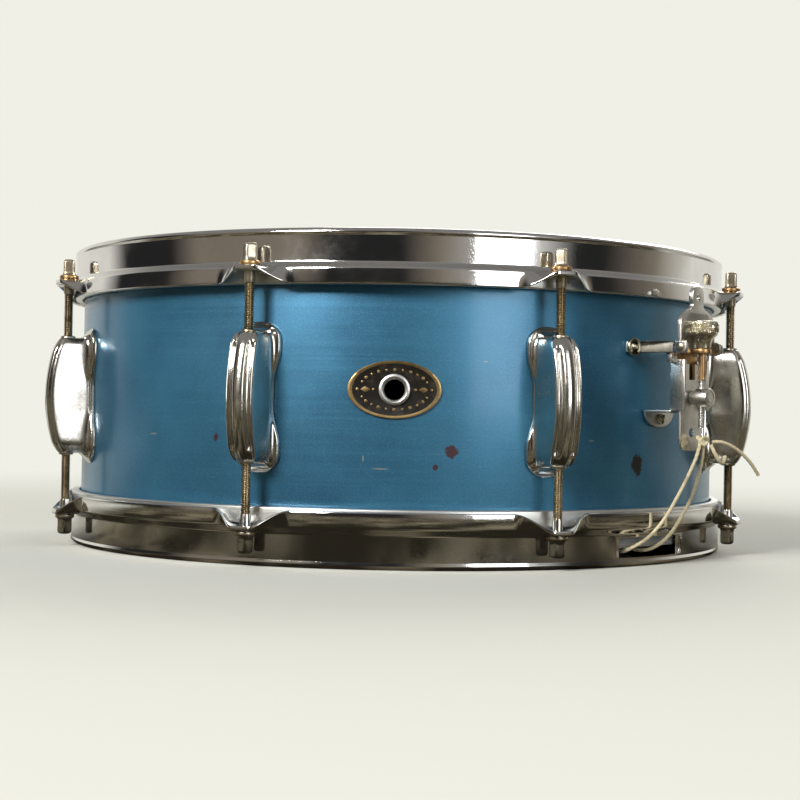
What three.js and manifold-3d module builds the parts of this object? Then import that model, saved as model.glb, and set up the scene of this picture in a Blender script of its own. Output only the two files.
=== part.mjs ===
// Snare drum, 14 x 5.5 inch, eight lugs, wooden shell, snare strainer with a throw lever.
// Millimetres, +Z up. The origin is the middle of the bottom rim's plane, and the badge faces -Y.
// An azimuth is measured about Z from the front (-Y) towards +X.
import * as THREE from 'three';
import { mergeVertices } from 'three/addons/utils/BufferGeometryUtils.js';
import Module from 'manifold-3d';

const wasm = await Module();
wasm.setup();

// Shell and heads
const SHELL_R = 177.8;
const SHELL_WALL = 5;
const SHELL_DEPTH = 139.7;
const RIM_STAND = 9.8; // how far each rim stands beyond its bearing edge
const TOTAL_H = SHELL_DEPTH + 2 * RIM_STAND;
const MID_H = TOTAL_H / 2;
const RING_WALL = 5;
const RING_H = 38;
const BEVEL = 3.8;
const FILM = 0.5;
const GAP = 0.3;
const ROUND = 48; // facets of every turned piece about the drum's axis

// Hoops; heights are measured inwards from the rim's outer end
const LIP_IN_R = 176.6;
const LIP_OUT_R = 183.3;
const LIP_H = 3.6;
const WALL_R = 182.8;
const SHEET = 1.8;
const WALL_H = 15.6;
const SKIRT_R = 186.3;
const SKIRT_TOP = 19.0;
const SKIRT_END = 27.0;
const EAR_R = 196.7;
const EAR_THICK = 2.5;
const TOP_EAR_SEAT = 18.4;
const BOTTOM_EAR_SEAT = 17.0;
const EAR_FLAT = 4.5;
const EAR_SWOOP = 21;
const EAR_SWOOP_POWER = 0.72;
const GATE_HALF_DEG = 8.4;
const GATE_LOW = 4.5;
const GATE_HIGH = 14.4;

// Lugs and tension rods
const LUG_COUNT = 8;
const LUG_PITCH_DEG = 360 / LUG_COUNT;
const ROD_CIRCLE_R = 190.6;
const ROD_R = 2.5;
const ROD_HEAD = 5.8;
const ROD_HEAD_H = 8.3;
const ROD_COLLAR_R = 5;
const ROD_COLLAR_H = 2.2;
const ROD_END_FROM_MID = 16;
const LUG_BASE_W = 22;
const LUG_BASE_H = 71.4;
const LUG_BASE_T = 2.6;
const LUG_BARREL_W = 14;
const LUG_BARREL_H = 60;
const LUG_FRONT_R = 202.2;
const LUG_END_R = 196;
const LUG_BORE_R = 3.1;

// Badge and vent
const BADGE_AZ = -1.45;
const BADGE_Z = 84;
const BADGE_W = 44.2;
const BADGE_H = 27.1;
const VENT_R = 4.9;
const VENT_WALL = 0.8;
const VENT_FLANGE_R = 7.6;

// Snare strainer, in a frame turned to its azimuth: t to the right, r outwards
const STRAINER_AZ = 46.1;
const SNARE_AZ = 43.5;
const SCREW_AZ = 7.0;
const LOWER_SCREW_Z = 72.4;
const STRAP_Z = 107.8;
const STRAP_H = 5.4;
const STRAP_HALF = 16.9;
const STRAP_END = 205.6;
const PLATE = 1.2;
const CHANNEL_HALF = 11.5;
const CHANNEL_FRONT = 201.2;
const CHANNEL_BACK = 193;
const CHANNEL_LOW = 77;
const CHANNEL_TOP = 102;
const CHANNEL_WEB = 1.6;
const SLOT_HALF = 9.2;
const SHELF_T = 1.4;
const TAB_HALF = 12.9;
const TAB_LOW = 68.4;
const KNOB_AXIS_R = 204;
const KNOB_R = 8.1;
const KNOB_LOW = 114.4;
const KNOB_TOP = 121;
const KNOB_SEAT = 107.6;
const SCREW_R = 1.8;
const SCREW_END = 68.4;
const TONGUE_LOW = 104.8;
const TONGUE_T = 2.5;
const TONGUE_NOSE_R = 4.5;
const TONGUE_BACK = 194.6;
const BRACKET_HALF = 8.5;
const BRACKET_LOW = 88;
const CARRIAGE_HALF = 9.9;
const CARRIAGE_FRONT = 198.3;
const CARRIAGE_LOW = 57;
const CARRIAGE_TOP = 100;
const CARRIAGE_SLOT_HALF = 2.6;
const CARRIAGE_SLOT_LOW = 92;
const CORD_HOLE_Z = 66;
const NUT_Z = 83.3;
const NUT_R = 4.65;
const NUT_END = 209;
const PIVOT_R = 202;
const PIVOT_Z = STRAP_Z;
const PIVOT_HOLE_R = 1.5;
const LEVER_BACK = 198.9;
const LEVER_T = 2.6;
const LEG_TOP = 116;
const LEVER_TOP = 138;
const LEVER_ARCH = 124.4;
const LEVER_HALF = 15.4;
const LEVER_HOLE_R = 1.7;
const LEVER_HOLE_Z = 132.6;
const CORD_R = 0.95;
const KNOT_R = 3.4;
const SCREW_HOLE_R = 1.7;
const SCREW_HEAD_R = 3.25;
const LOWER_HEAD_R = 2.7;

// Butt and snare wires
const BUTT_AZ = SNARE_AZ + 180;
const BUTT_Z = 76;
const BUTT_FACE = SHELL_R + 2 * GAP + 1.6;
const CLAMP_BACK = BUTT_FACE + 2 * CORD_R + 2 * GAP;
const CLAMP_T = 2.4;
const CLAMP_SCREW_T = 14;
const BUTT_CORD_T = 9;
const WIRE_COUNT = 12;
const WIRE_PITCH = 3.4;
const WIRE_SIZE = 1.3;
const SNARE_TOP = 8.6;
const SNARE_END_R = 168;

const deg = THREE.MathUtils.degToRad;
const drum = new THREE.Group();

const material = (colour, roughness, metalness) =>
  new THREE.MeshStandardMaterial({ color: colour, roughness, metalness });
const chrome = material(0xd6d8da, 0.12, 1);
const wornChrome = material(0xb9ad93, 0.3, 1);
const lacquer = material(0x2f6c96, 0.35, 0.4);
const maple = material(0xc9a06a, 0.6, 0);
const film = material(0xeeece2, 0.5, 0);
const clearFilm = material(0xdfe3e2, 0.3, 0);
const aluminium = material(0xd9d9d4, 0.35, 1);
const badgeBlack = material(0x16140f, 0.3, 0.3);
const steelWire = material(0xc4c6c8, 0.3, 1);
const cotton = material(0xd8cba4, 0.9, 0);

// ---- solids -------------------------------------------------------------------------------

function solidOf(geometry) {
  const bare = geometry.clone();
  bare.deleteAttribute('normal');
  bare.deleteAttribute('uv');
  const merged = mergeVertices(bare, 1e-3);
  return new wasm.Manifold(new wasm.Mesh({
    numProp: 3,
    vertProperties: new Float32Array(merged.attributes.position.array),
    triVerts: new Uint32Array(merged.index.array),
  }));
}

function geometryOf(solid) {
  const mesh = solid.getMesh();
  const geometry = new THREE.BufferGeometry();
  geometry.setAttribute('position', new THREE.BufferAttribute(mesh.vertProperties, 3));
  geometry.setIndex(new THREE.BufferAttribute(mesh.triVerts, 1));
  return geometry;
}

function joined(...geometries) {
  return geometryOf(geometries.map(solidOf).reduce((all, next) => all.add(next)));
}

function cut(geometry, ...tools) {
  return geometryOf(tools.map(solidOf).reduce((left, tool) => left.subtract(tool), solidOf(geometry)));
}

// A profile of [radius, height] pairs, counter-clockwise, turned about Z.
function turned(profile, segments) {
  const points = profile.map(([radius, height]) => new THREE.Vector2(radius, height));
  return new THREE.LatheGeometry(points, segments).rotateX(Math.PI / 2);
}

// A closed profile that doesn't touch the axis.
function ring(profile, segments) {
  return turned([...profile, profile[0]], segments);
}

function box(t0, t1, r0, r1, z0, z1) {
  const geometry = new THREE.BoxGeometry(t1 - t0, r1 - r0, z1 - z0);
  return geometry.translate((t0 + t1) / 2, -(r0 + r1) / 2, (z0 + z1) / 2);
}

function rod(radius, z0, z1, t, r, segments = 8) {
  const geometry = new THREE.CylinderGeometry(radius, radius, z1 - z0, segments).rotateX(Math.PI / 2);
  return geometry.translate(t, -r, (z0 + z1) / 2);
}

// A round bar along the radial direction.
function radialRod(radius, r0, r1, t, z, segments = 6) {
  const geometry = new THREE.CylinderGeometry(radius, radius, r1 - r0, segments);
  return geometry.translate(t, -(r0 + r1) / 2, z);
}

// The bar that cuts a screw's hole through the shell and whatever is fastened to it.
function screwHole(t, z) {
  return radialRod(SCREW_HOLE_R, SHELL_R - 12, SHELL_R + 16, t, z, 8);
}

// A round bar along the tangential direction.
function tangentRod(radius, t0, t1, r, z, segments = 8) {
  const geometry = new THREE.CylinderGeometry(radius, radius, t1 - t0, segments).rotateZ(Math.PI / 2);
  return geometry.translate((t0 + t1) / 2, -r, z);
}

// An outline in the (t, z) plane, standing upright, from radius r0 out to radius r1.
function upright(shape, r0, r1, curveSegments = 2) {
  const geometry = new THREE.ExtrudeGeometry(shape, {
    depth: r1 - r0,
    bevelEnabled: false,
    curveSegments,
  });
  return geometry.rotateX(Math.PI / 2).translate(0, -r0, 0);
}

function outline(points) {
  return new THREE.Shape(points.map(([x, y]) => new THREE.Vector2(x, y)));
}

function roundedRectangle(width, height, corner, middle) {
  const x = width / 2;
  const y = height / 2;
  const shape = new THREE.Shape();
  shape.moveTo(-x + corner, middle - y);
  shape.lineTo(x - corner, middle - y);
  shape.absarc(x - corner, middle - y + corner, corner, -Math.PI / 2, 0);
  shape.absarc(x - corner, middle + y - corner, corner, 0, Math.PI / 2);
  shape.absarc(-x + corner, middle + y - corner, corner, Math.PI / 2, Math.PI);
  shape.absarc(-x + corner, middle - y + corner, corner, Math.PI, Math.PI * 1.5);
  return shape;
}

function cord(points, radius, steps) {
  const section = new THREE.Shape();
  section.absarc(0, 0, radius, 0, 2 * Math.PI);
  const path = new THREE.CatmullRomCurve3(points.map((point) => new THREE.Vector3(...point)));
  return new THREE.ExtrudeGeometry(section, { steps, curveSegments: 4, extrudePath: path });
}

function add(name, geometry, look, azimuth = 0) {
  const mesh = new THREE.Mesh(geometry, look);
  mesh.name = name;
  mesh.rotation.z = deg(azimuth);
  drum.add(mesh);
}

// A point given by azimuth, radius and height.
function polar(azimuth, radius, z) {
  return [radius * Math.sin(deg(azimuth)), -radius * Math.cos(deg(azimuth)), z];
}

// Heights counted from the rim at either end of the drum.
const fromBottom = (distance) => distance;
const fromTop = (distance) => TOTAL_H - distance;

// A profile drawn for the bottom end is walked the other way once level() mirrors it to the top.
function facing(profile, level) {
  return level(1) > level(0) ? profile : profile.reverse();
}

// ---- shell, rings, heads ------------------------------------------------------------------

function shell() {
  const inner = SHELL_R - SHELL_WALL;
  const low = RIM_STAND;
  const high = TOTAL_H - RIM_STAND;
  const profile = [
    [inner, low + BEVEL],
    [SHELL_R - 1.2, low],
    [SHELL_R, low + 1.2],
    [SHELL_R, high - 1.2],
    [SHELL_R - 1.2, high],
    [inner, high - BEVEL],
  ];
  const holes = [
    radialRod(VENT_R + VENT_WALL + GAP, 165, 185, 0, BADGE_Z, 12).rotateZ(deg(BADGE_AZ)),
  ];
  for (const side of [-1, 1]) {
    holes.push(screwHole(0, STRAP_Z).rotateZ(deg(STRAINER_AZ + side * SCREW_AZ)));
    holes.push(screwHole(side * CLAMP_SCREW_T, BUTT_Z).rotateZ(deg(BUTT_AZ)));
  }
  holes.push(screwHole(0, LOWER_SCREW_Z).rotateZ(deg(STRAINER_AZ)));
  return cut(ring(profile, ROUND), ...holes);
}

function reinforcementRing(level) {
  const outer = SHELL_R - SHELL_WALL - GAP;
  const inner = outer - RING_WALL;
  const edge = RIM_STAND + BEVEL;
  const profile = [
    [inner, level(edge + RING_WALL)],
    [outer, level(edge)],
    [outer, level(RIM_STAND + RING_H)],
    [inner, level(RIM_STAND + RING_H)],
  ];
  return ring(facing(profile, level), ROUND);
}

// The playing skin with its collar turned over the bearing edge; level(e) turns a distance
// from the rim's outer end into a height.
function headFilm(level) {
  const under = RIM_STAND - GAP;
  const over = under - FILM;
  const outerR = SHELL_R + GAP + FILM;
  const profile = [
    [0, level(over)],
    [outerR - 1.4, level(over)],
    [outerR, level(over + 1.2)],
    [outerR, level(SKIRT_END - 1)],
    [outerR - FILM, level(SKIRT_END - 1)],
    [outerR - FILM, level(over + 1.5)],
    [outerR - 1.8, level(under)],
    [0, level(under)],
  ];
  return turned(facing(profile, level), ROUND);
}

function fleshHoop(level, end) {
  const inner = SHELL_R + GAP + FILM + GAP;
  const seat = SKIRT_TOP + 1;
  const profile = [
    [inner, level(seat)],
    [WALL_R, level(seat)],
    [WALL_R, level(end)],
    [inner, level(end)],
  ];
  return ring(facing(profile, level), ROUND);
}

// ---- hoops --------------------------------------------------------------------------------

// Distances along the rod circle, from an ear's middle to the next, where the hoop has a section.
const HALF_PITCH = Math.PI * ROD_CIRCLE_R / LUG_COUNT;
const EAR_STATIONS = [0, EAR_FLAT, 9, 14, EAR_SWOOP, 44, HALF_PITCH];

function swoop(distance) {
  const along = THREE.MathUtils.clamp((distance - EAR_FLAT) / (EAR_SWOOP - EAR_FLAT), 0, 1);
  return (1 + Math.cos(Math.PI * along ** EAR_SWOOP_POWER)) / 2;
}

function hoop(level, earSeat) {
  const between = [
    [LIP_IN_R, 2.4],
    [LIP_IN_R + 1.8, 0],
    [LIP_OUT_R - 2.1, 0],
    [LIP_OUT_R, 1.7],
    [WALL_R, LIP_H],
    [WALL_R, WALL_H],
    [SKIRT_R, SKIRT_TOP],
    [SKIRT_R + 0.1, SKIRT_END],
    [SKIRT_R + 0.1 - SHEET, SKIRT_END],
    [SKIRT_R - SHEET, SKIRT_TOP + 1],
    [WALL_R - SHEET, WALL_H + 0.9],
    [WALL_R - SHEET, LIP_H - 0.4],
  ];
  const atEar = between.map((point) => [...point]);
  atEar[6] = [SKIRT_R - 1.2, earSeat];
  atEar[7] = [EAR_R, earSeat];
  atEar[8] = [EAR_R, earSeat + EAR_THICK];
  atEar[9] = [SKIRT_R + 0.2, earSeat + EAR_THICK - 0.3];
  const order = facing([...between.keys()], level);
  const stations = EAR_STATIONS.length - 1;
  const profile = order.map((index) => [between[index][0], level(between[index][1])]);
  const geometry = ring(profile, LUG_COUNT * 2 * stations);
  const position = geometry.attributes.position;
  const rows = order.length + 1;
  for (let vertex = 0; vertex < position.count; vertex += 1) {
    const station = Math.floor(vertex / rows);
    const index = order[(vertex % rows) % order.length];
    const ear = Math.round(station / (2 * stations));
    const step = station - ear * 2 * stations;
    const distance = EAR_STATIONS[Math.abs(step)];
    const weight = swoop(distance);
    const radius = THREE.MathUtils.lerp(between[index][0], atEar[index][0], weight);
    const depth = THREE.MathUtils.lerp(between[index][1], atEar[index][1], weight);
    const along = THREE.MathUtils.radToDeg(Math.sign(step) * distance / ROD_CIRCLE_R);
    position.setXYZ(vertex, ...polar(LUG_PITCH_DEG * (ear + 0.5) + along, radius, level(depth)));
  }
  const holes = [];
  for (let lug = 0; lug < LUG_COUNT; lug += 1) {
    const seat = level(earSeat + 1);
    const hole = rod(ROD_R + 0.8, seat - 8, seat + 8, 0, ROD_CIRCLE_R, 6);
    holes.push(hole.rotateZ(deg(LUG_PITCH_DEG * (lug + 0.5))));
  }
  return cut(geometry, ...holes);
}

// The window that lets the snare cord out through the bottom hoop's wall.
function gate(azimuth) {
  const half = WALL_R * Math.tan(deg(GATE_HALF_DEG));
  const window = roundedRectangle(2 * half, GATE_HIGH - GATE_LOW, 2.5, (GATE_LOW + GATE_HIGH) / 2);
  return upright(window, WALL_R - SHEET - 1.5, LIP_OUT_R + 1.2).rotateZ(deg(azimuth));
}

// ---- lugs and rods ------------------------------------------------------------------------

function lug() {
  const back = SHELL_R + GAP;
  const base = upright(roundedRectangle(LUG_BASE_W, LUG_BASE_H, 9, MID_H), back, back + LUG_BASE_T);
  const half = LUG_BARREL_H / 2;
  const front = new THREE.Shape();
  front.moveTo(-(back + 1), -half - 2);
  front.lineTo(-(LUG_END_R - 9), -half);
  front.lineTo(-(LUG_END_R - 2.5), -half);
  front.quadraticCurveTo(-LUG_END_R, -half, -LUG_END_R - 0.6, -half + 3);
  front.quadraticCurveTo(-(2 * LUG_FRONT_R - LUG_END_R - 0.6), 0, -LUG_END_R - 0.6, half - 3);
  front.quadraticCurveTo(-LUG_END_R, half, -(LUG_END_R - 2.5), half);
  front.lineTo(-(LUG_END_R - 9), half);
  front.lineTo(-(back + 1), half + 2);
  const bevel = 2.6;
  const barrel = new THREE.ExtrudeGeometry(front, {
    depth: LUG_BARREL_W - 2 * bevel,
    bevelThickness: bevel,
    bevelSize: bevel * 0.6,
    bevelOffset: -bevel * 0.6,
    bevelSegments: 1,
    curveSegments: 4,
  });
  // The outline's first axis becomes Y and its second becomes Z.
  const turn = new THREE.Matrix4().makeBasis(
    new THREE.Vector3(0, 1, 0),
    new THREE.Vector3(0, 0, 1),
    new THREE.Vector3(1, 0, 0),
  );
  barrel.applyMatrix4(turn).translate(-(LUG_BARREL_W / 2 - bevel), 0, MID_H);
  const bore = rod(LUG_BORE_R, MID_H - 50, MID_H + 50, 0, ROD_CIRCLE_R, 8);
  return cut(joined(base, barrel), bore);
}

function tensionRod(earSeat) {
  const seat = earSeat - GAP;
  const collarTop = seat - ROD_COLLAR_H;
  const headTop = collarTop - ROD_HEAD_H;
  const end = MID_H - ROD_END_FROM_MID;
  const shank = turned([
    [0, collarTop - 1],
    [ROD_COLLAR_R - 1.2, collarTop - 1],
    [ROD_COLLAR_R - 1.2, collarTop],
    [ROD_COLLAR_R, collarTop],
    [ROD_COLLAR_R, seat],
    [ROD_R + 0.2, seat],
    [ROD_R + 0.2, seat + 12],
    [ROD_R, seat + 13],
    [ROD_R, end - 1.5],
    [ROD_R - 1, end],
    [0, end],
  ], 8);
  const half = ROD_HEAD / 2;
  const head = box(-half, half, -half, half, headTop, collarTop - 0.5);
  return joined(shank, head).translate(0, -ROD_CIRCLE_R, 0);
}

// ---- badge and vent -----------------------------------------------------------------------

function badge() {
  const low = BADGE_Z - BADGE_H;
  const high = BADGE_Z + BADGE_H;
  const inner = SHELL_R + GAP;
  const sheet = ring([[inner, low], [inner + 0.6, low], [inner + 0.6, high], [inner, high]], ROUND);
  const oval = new THREE.Shape();
  oval.absellipse(0, BADGE_Z, BADGE_W / 2, BADGE_H / 2, 0, 2 * Math.PI);
  const column = upright(oval, 170, 190, 12).rotateZ(deg(BADGE_AZ));
  const hole = radialRod(VENT_R + VENT_WALL + GAP, 165, 195, 0, BADGE_Z, 12).rotateZ(deg(BADGE_AZ));
  return geometryOf(solidOf(sheet).intersect(solidOf(column)).subtract(solidOf(hole)));
}

function ventGrommet() {
  const outerFace = SHELL_R + GAP + 0.6 + GAP;
  const innerFace = SHELL_R - SHELL_WALL - 1.4;
  const profile = [
    [VENT_R, innerFace - 0.7],
    [VENT_FLANGE_R - 0.5, innerFace - 0.7],
    [VENT_FLANGE_R - 0.5, innerFace],
    [VENT_R + VENT_WALL, innerFace + 0.3],
    [VENT_R + VENT_WALL, outerFace - 0.1],
    [VENT_FLANGE_R, outerFace],
    [VENT_FLANGE_R - 0.6, outerFace + 0.9],
    [VENT_R, outerFace + 0.9],
  ];
  return ring(profile, 16).rotateX(Math.PI / 2).translate(0, 0, BADGE_Z);
}

// ---- strainer -----------------------------------------------------------------------------

// The strap that runs from its foot on the shell out to the ear that carries the lever's pivot.
function strap(side) {
  const foot = (angle, radius) => [side * radius * Math.sin(deg(angle)), -radius * Math.cos(deg(angle))];
  const outerFace = side * STRAP_HALF;
  const innerFace = side * (STRAP_HALF - PLATE);
  const points = [
    foot(9.4, SHELL_R + GAP),
    foot(9.4, SHELL_R + GAP + PLATE),
    foot(5.9, SHELL_R + GAP + PLATE + 0.3),
    [outerFace, -(CHANNEL_BACK + 3)],
    [outerFace, -STRAP_END],
    [innerFace, -STRAP_END],
    [innerFace, -(CHANNEL_BACK + 2.6)],
    foot(5.4, SHELL_R + GAP),
  ];
  const shape = outline(side > 0 ? points.reverse() : points);
  const geometry = new THREE.ExtrudeGeometry(shape, { depth: STRAP_H, bevelEnabled: false });
  return geometry.translate(0, 0, STRAP_Z - STRAP_H / 2);
}

function strainerFrame() {
  const web = CHANNEL_FRONT - CHANNEL_WEB;
  const shelfLow = CHANNEL_LOW - SHELF_T;
  const foot = SHELL_R + 2 * GAP;
  const pieces = [
    box(-CHANNEL_HALF, CHANNEL_HALF, web, CHANNEL_FRONT, CHANNEL_LOW, CHANNEL_TOP),
    box(-CHANNEL_HALF, CHANNEL_HALF, CHANNEL_BACK, CHANNEL_BACK + 2.6, shelfLow, CHANNEL_LOW),
    box(-TAB_HALF, TAB_HALF, foot, CHANNEL_BACK + 1, shelfLow, CHANNEL_LOW),
  ];
  for (const side of [-1, 1]) {
    const wall = side > 0 ? CHANNEL_HALF - PLATE : -CHANNEL_HALF;
    const link = [side * (CHANNEL_HALF - 0.5), side * (STRAP_HALF - PLATE + 0.1)].sort((a, b) => a - b);
    pieces.push(box(wall, wall + PLATE, CHANNEL_BACK, web + 0.1, shelfLow, CHANNEL_TOP));
    pieces.push(box(...link, CHANNEL_BACK + 0.5, CHANNEL_BACK + 3.6, CHANNEL_TOP - 1.5, STRAP_Z - 2));
    pieces.push(strap(side));
  }
  const tab = new THREE.Shape();
  tab.moveTo(TAB_HALF, CHANNEL_LOW);
  tab.lineTo(-TAB_HALF, CHANNEL_LOW);
  tab.quadraticCurveTo(-TAB_HALF, TAB_LOW + 0.2, 0, TAB_LOW);
  tab.quadraticCurveTo(TAB_HALF, TAB_LOW + 0.2, TAB_HALF, CHANNEL_LOW);
  pieces.push(upright(tab, foot, foot + SHELF_T));
  const slot = box(-SLOT_HALF, SLOT_HALF, web - 3, CHANNEL_FRONT + 3, CHANNEL_LOW - 3, CHANNEL_TOP + 3);
  const holes = [screwHole(0, LOWER_SCREW_Z)];
  for (const side of [-1, 1]) {
    const ear = side * STRAP_HALF;
    holes.push(screwHole(0, STRAP_Z).rotateZ(deg(side * SCREW_AZ)));
    holes.push(tangentRod(PIVOT_HOLE_R, ear - 3, ear + 3, PIVOT_R, PIVOT_Z, 10));
  }
  return cut(joined(...pieces), slot, ...holes);
}

// A round-head screw through the shell, with its nut end inside.
function shellScrew(seatR, headR) {
  const head = turned([[0, 0], [headR, 0], [headR * 0.82, 1.4], [headR * 0.4, 2.1], [0, 2.2]], 10);
  head.rotateX(Math.PI / 2).translate(0, -seatR, 0);
  return joined(head, radialRod(1.35, 168.5, seatR + 0.5, 0, 0, 8));
}

function screwBracket() {
  const throat = CHANNEL_FRONT - CHANNEL_WEB - GAP;
  const nose = new THREE.Shape();
  nose.moveTo(-BRACKET_HALF, -TONGUE_BACK);
  nose.lineTo(-BRACKET_HALF, -throat + 1.4);
  nose.lineTo(-TONGUE_NOSE_R, -throat);
  nose.lineTo(-TONGUE_NOSE_R, -KNOB_AXIS_R);
  nose.absarc(0, -KNOB_AXIS_R, TONGUE_NOSE_R, Math.PI, 2 * Math.PI);
  nose.lineTo(TONGUE_NOSE_R, -throat);
  nose.lineTo(BRACKET_HALF, -throat + 1.4);
  nose.lineTo(BRACKET_HALF, -TONGUE_BACK);
  const tongue = new THREE.ExtrudeGeometry(nose, { depth: TONGUE_T, bevelEnabled: false, curveSegments: 4 });
  const tabFront = TONGUE_BACK + SHELF_T;
  const tab = box(-BRACKET_HALF, BRACKET_HALF, TONGUE_BACK, tabFront, BRACKET_LOW, TONGUE_LOW + 1);
  const bore = rod(SCREW_R + 0.4, TONGUE_LOW - 5, TONGUE_LOW + 7, 0, KNOB_AXIS_R, 10);
  return cut(joined(tongue.translate(0, 0, TONGUE_LOW), tab), bore);
}

function tensionKnob() {
  return turned([
    [0, SCREW_END],
    [SCREW_R, SCREW_END + 0.6],
    [SCREW_R, KNOB_SEAT],
    [4.2, KNOB_SEAT],
    [4.5, KNOB_LOW - 2.8],
    [KNOB_R - 0.9, KNOB_LOW - 0.2],
    [KNOB_R, KNOB_LOW + 0.4],
    [KNOB_R, KNOB_TOP - 0.6],
    [KNOB_R - 0.7, KNOB_TOP],
    [0, KNOB_TOP + 0.3],
  ], 16).translate(0, -KNOB_AXIS_R, 0);
}

function carriagePlate() {
  const back = CARRIAGE_FRONT - 1.4;
  const corner = 6;
  const shape = new THREE.Shape();
  shape.moveTo(-CARRIAGE_HALF, CARRIAGE_TOP);
  shape.lineTo(-CARRIAGE_HALF, CARRIAGE_LOW + corner);
  shape.absarc(-CARRIAGE_HALF + corner, CARRIAGE_LOW + corner, corner, Math.PI, 1.5 * Math.PI);
  shape.absarc(CARRIAGE_HALF - corner, CARRIAGE_LOW + corner, corner, 1.5 * Math.PI, 2 * Math.PI);
  shape.lineTo(CARRIAGE_HALF, CARRIAGE_TOP);
  const hole = radialRod(2.2, back - 3, CARRIAGE_FRONT + 3, 0, CORD_HOLE_Z, 10);
  const half = CARRIAGE_SLOT_HALF;
  const slot = box(-half, half, back - 3, CARRIAGE_FRONT + 3, CARRIAGE_SLOT_LOW, CARRIAGE_TOP + 3);
  return cut(upright(shape, back, CARRIAGE_FRONT), hole, slot);
}

function barrelNut() {
  const neck = radialRod(3.4, CARRIAGE_FRONT + GAP, CHANNEL_FRONT + 1, 0, NUT_Z, 12);
  const barrel = radialRod(NUT_R, CHANNEL_FRONT + 0.6, NUT_END, 0, NUT_Z, 16);
  const thread = rod(SCREW_R + GAP, NUT_Z - 8, NUT_Z + 8, 0, KNOB_AXIS_R, 10);
  return cut(joined(neck, barrel), thread);
}

function throwLever() {
  const inner = KNOB_R + 1;
  const half = [
    [LEVER_HALF, LEG_TOP],
    [LEVER_HALF, 118.6],
    [14.8, 121.4],
    [12.6, 123.8],
    [8.4, 126],
    [5.6, 127.2],
    [4.6, 128.8],
    [5.2, 131.4],
    [5, 134.6],
    [3.6, 137.2],
    [1.6, LEVER_TOP],
  ];
  const mirrored = half.map(([t, z]) => [-t, z]).reverse();
  const opening = [
    [-inner, LEG_TOP],
    [-inner, LEVER_ARCH - 2.4],
    [-inner + 2.4, LEVER_ARCH],
    [inner - 2.4, LEVER_ARCH],
    [inner, LEVER_ARCH - 2.4],
    [inner, LEG_TOP],
  ];
  const pieces = [upright(outline([...half, ...mirrored, ...opening]), LEVER_BACK, LEVER_BACK + LEVER_T)];
  const holes = [radialRod(LEVER_HOLE_R, LEVER_BACK - 3, LEVER_BACK + 5, 0, LEVER_HOLE_Z, 10)];
  for (const side of [-1, 1]) {
    const t0 = side > 0 ? LEVER_HALF - PLATE : -LEVER_HALF;
    const mid = t0 + PLATE / 2;
    pieces.push(box(t0, t0 + PLATE, LEVER_BACK, LEVER_BACK + LEVER_T, PIVOT_Z, LEG_TOP + 0.5));
    pieces.push(box(t0, t0 + PLATE, LEVER_BACK, PIVOT_R + 3.2, PIVOT_Z - 3.3, PIVOT_Z + 3.3));
    holes.push(tangentRod(PIVOT_HOLE_R, mid - 2, mid + 2, PIVOT_R, PIVOT_Z, 10));
  }
  return cut(joined(...pieces), ...holes);
}

function leverPivot(side) {
  const bar = (radius, from, to) => {
    const [t0, t1] = [side * from, side * to].sort((a, b) => a - b);
    return tangentRod(radius, t0, t1, PIVOT_R, PIVOT_Z, 10);
  };
  const headSeat = STRAP_HALF + GAP;
  const collarSeat = LEVER_HALF - PLATE - GAP;
  const shank = bar(PIVOT_HOLE_R - GAP, collarSeat - 1, headSeat + 0.5);
  return joined(shank, bar(2.1, headSeat, headSeat + 1), bar(2.2, collarSeat - 1, collarSeat));
}

// ---- butt and snares ----------------------------------------------------------------------

function buttPlate() {
  const back = SHELL_R + 2 * GAP;
  const plate = upright(roundedRectangle(40, 26, 5, BUTT_Z), back, BUTT_FACE);
  const lip = box(-17, 17, back, back + 9, BUTT_Z - 13, BUTT_Z - 11.4);
  const holes = [-1, 1].map((side) => screwHole(side * CLAMP_SCREW_T, BUTT_Z));
  const slots = [-1, 1].map((side) => rod(1.7, BUTT_Z - 16, BUTT_Z - 8, side * BUTT_CORD_T, back + 5, 8));
  return cut(joined(plate, lip), ...holes, ...slots);
}

function buttClamp() {
  const bar = upright(roundedRectangle(36, 10, 4.5, BUTT_Z), CLAMP_BACK, CLAMP_BACK + CLAMP_T);
  const holes = [-1, 1].map((side) => screwHole(side * CLAMP_SCREW_T, BUTT_Z));
  return cut(bar, ...holes);
}

// The wires are soldered between two end plates, so the set is one piece along its own line.
function snareWires() {
  const low = SNARE_TOP - WIRE_SIZE;
  const half = WIRE_COUNT * WIRE_PITCH / 2 + 1.2;
  const pieces = [-1, 1].map((side) => {
    const inner = side * (SNARE_END_R - 16);
    const outer = side * SNARE_END_R;
    return box(-half, half, Math.min(inner, outer), Math.max(inner, outer), low - 0.4, SNARE_TOP);
  });
  for (let wire = 0; wire < WIRE_COUNT; wire += 1) {
    const t = (wire - (WIRE_COUNT - 1) / 2) * WIRE_PITCH;
    const reach = SNARE_END_R - 10;
    pieces.push(box(t - WIRE_SIZE / 2, t + WIRE_SIZE / 2, -reach, reach, low, SNARE_TOP));
  }
  return joined(...pieces);
}

// ---- assembly -----------------------------------------------------------------------------

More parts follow.
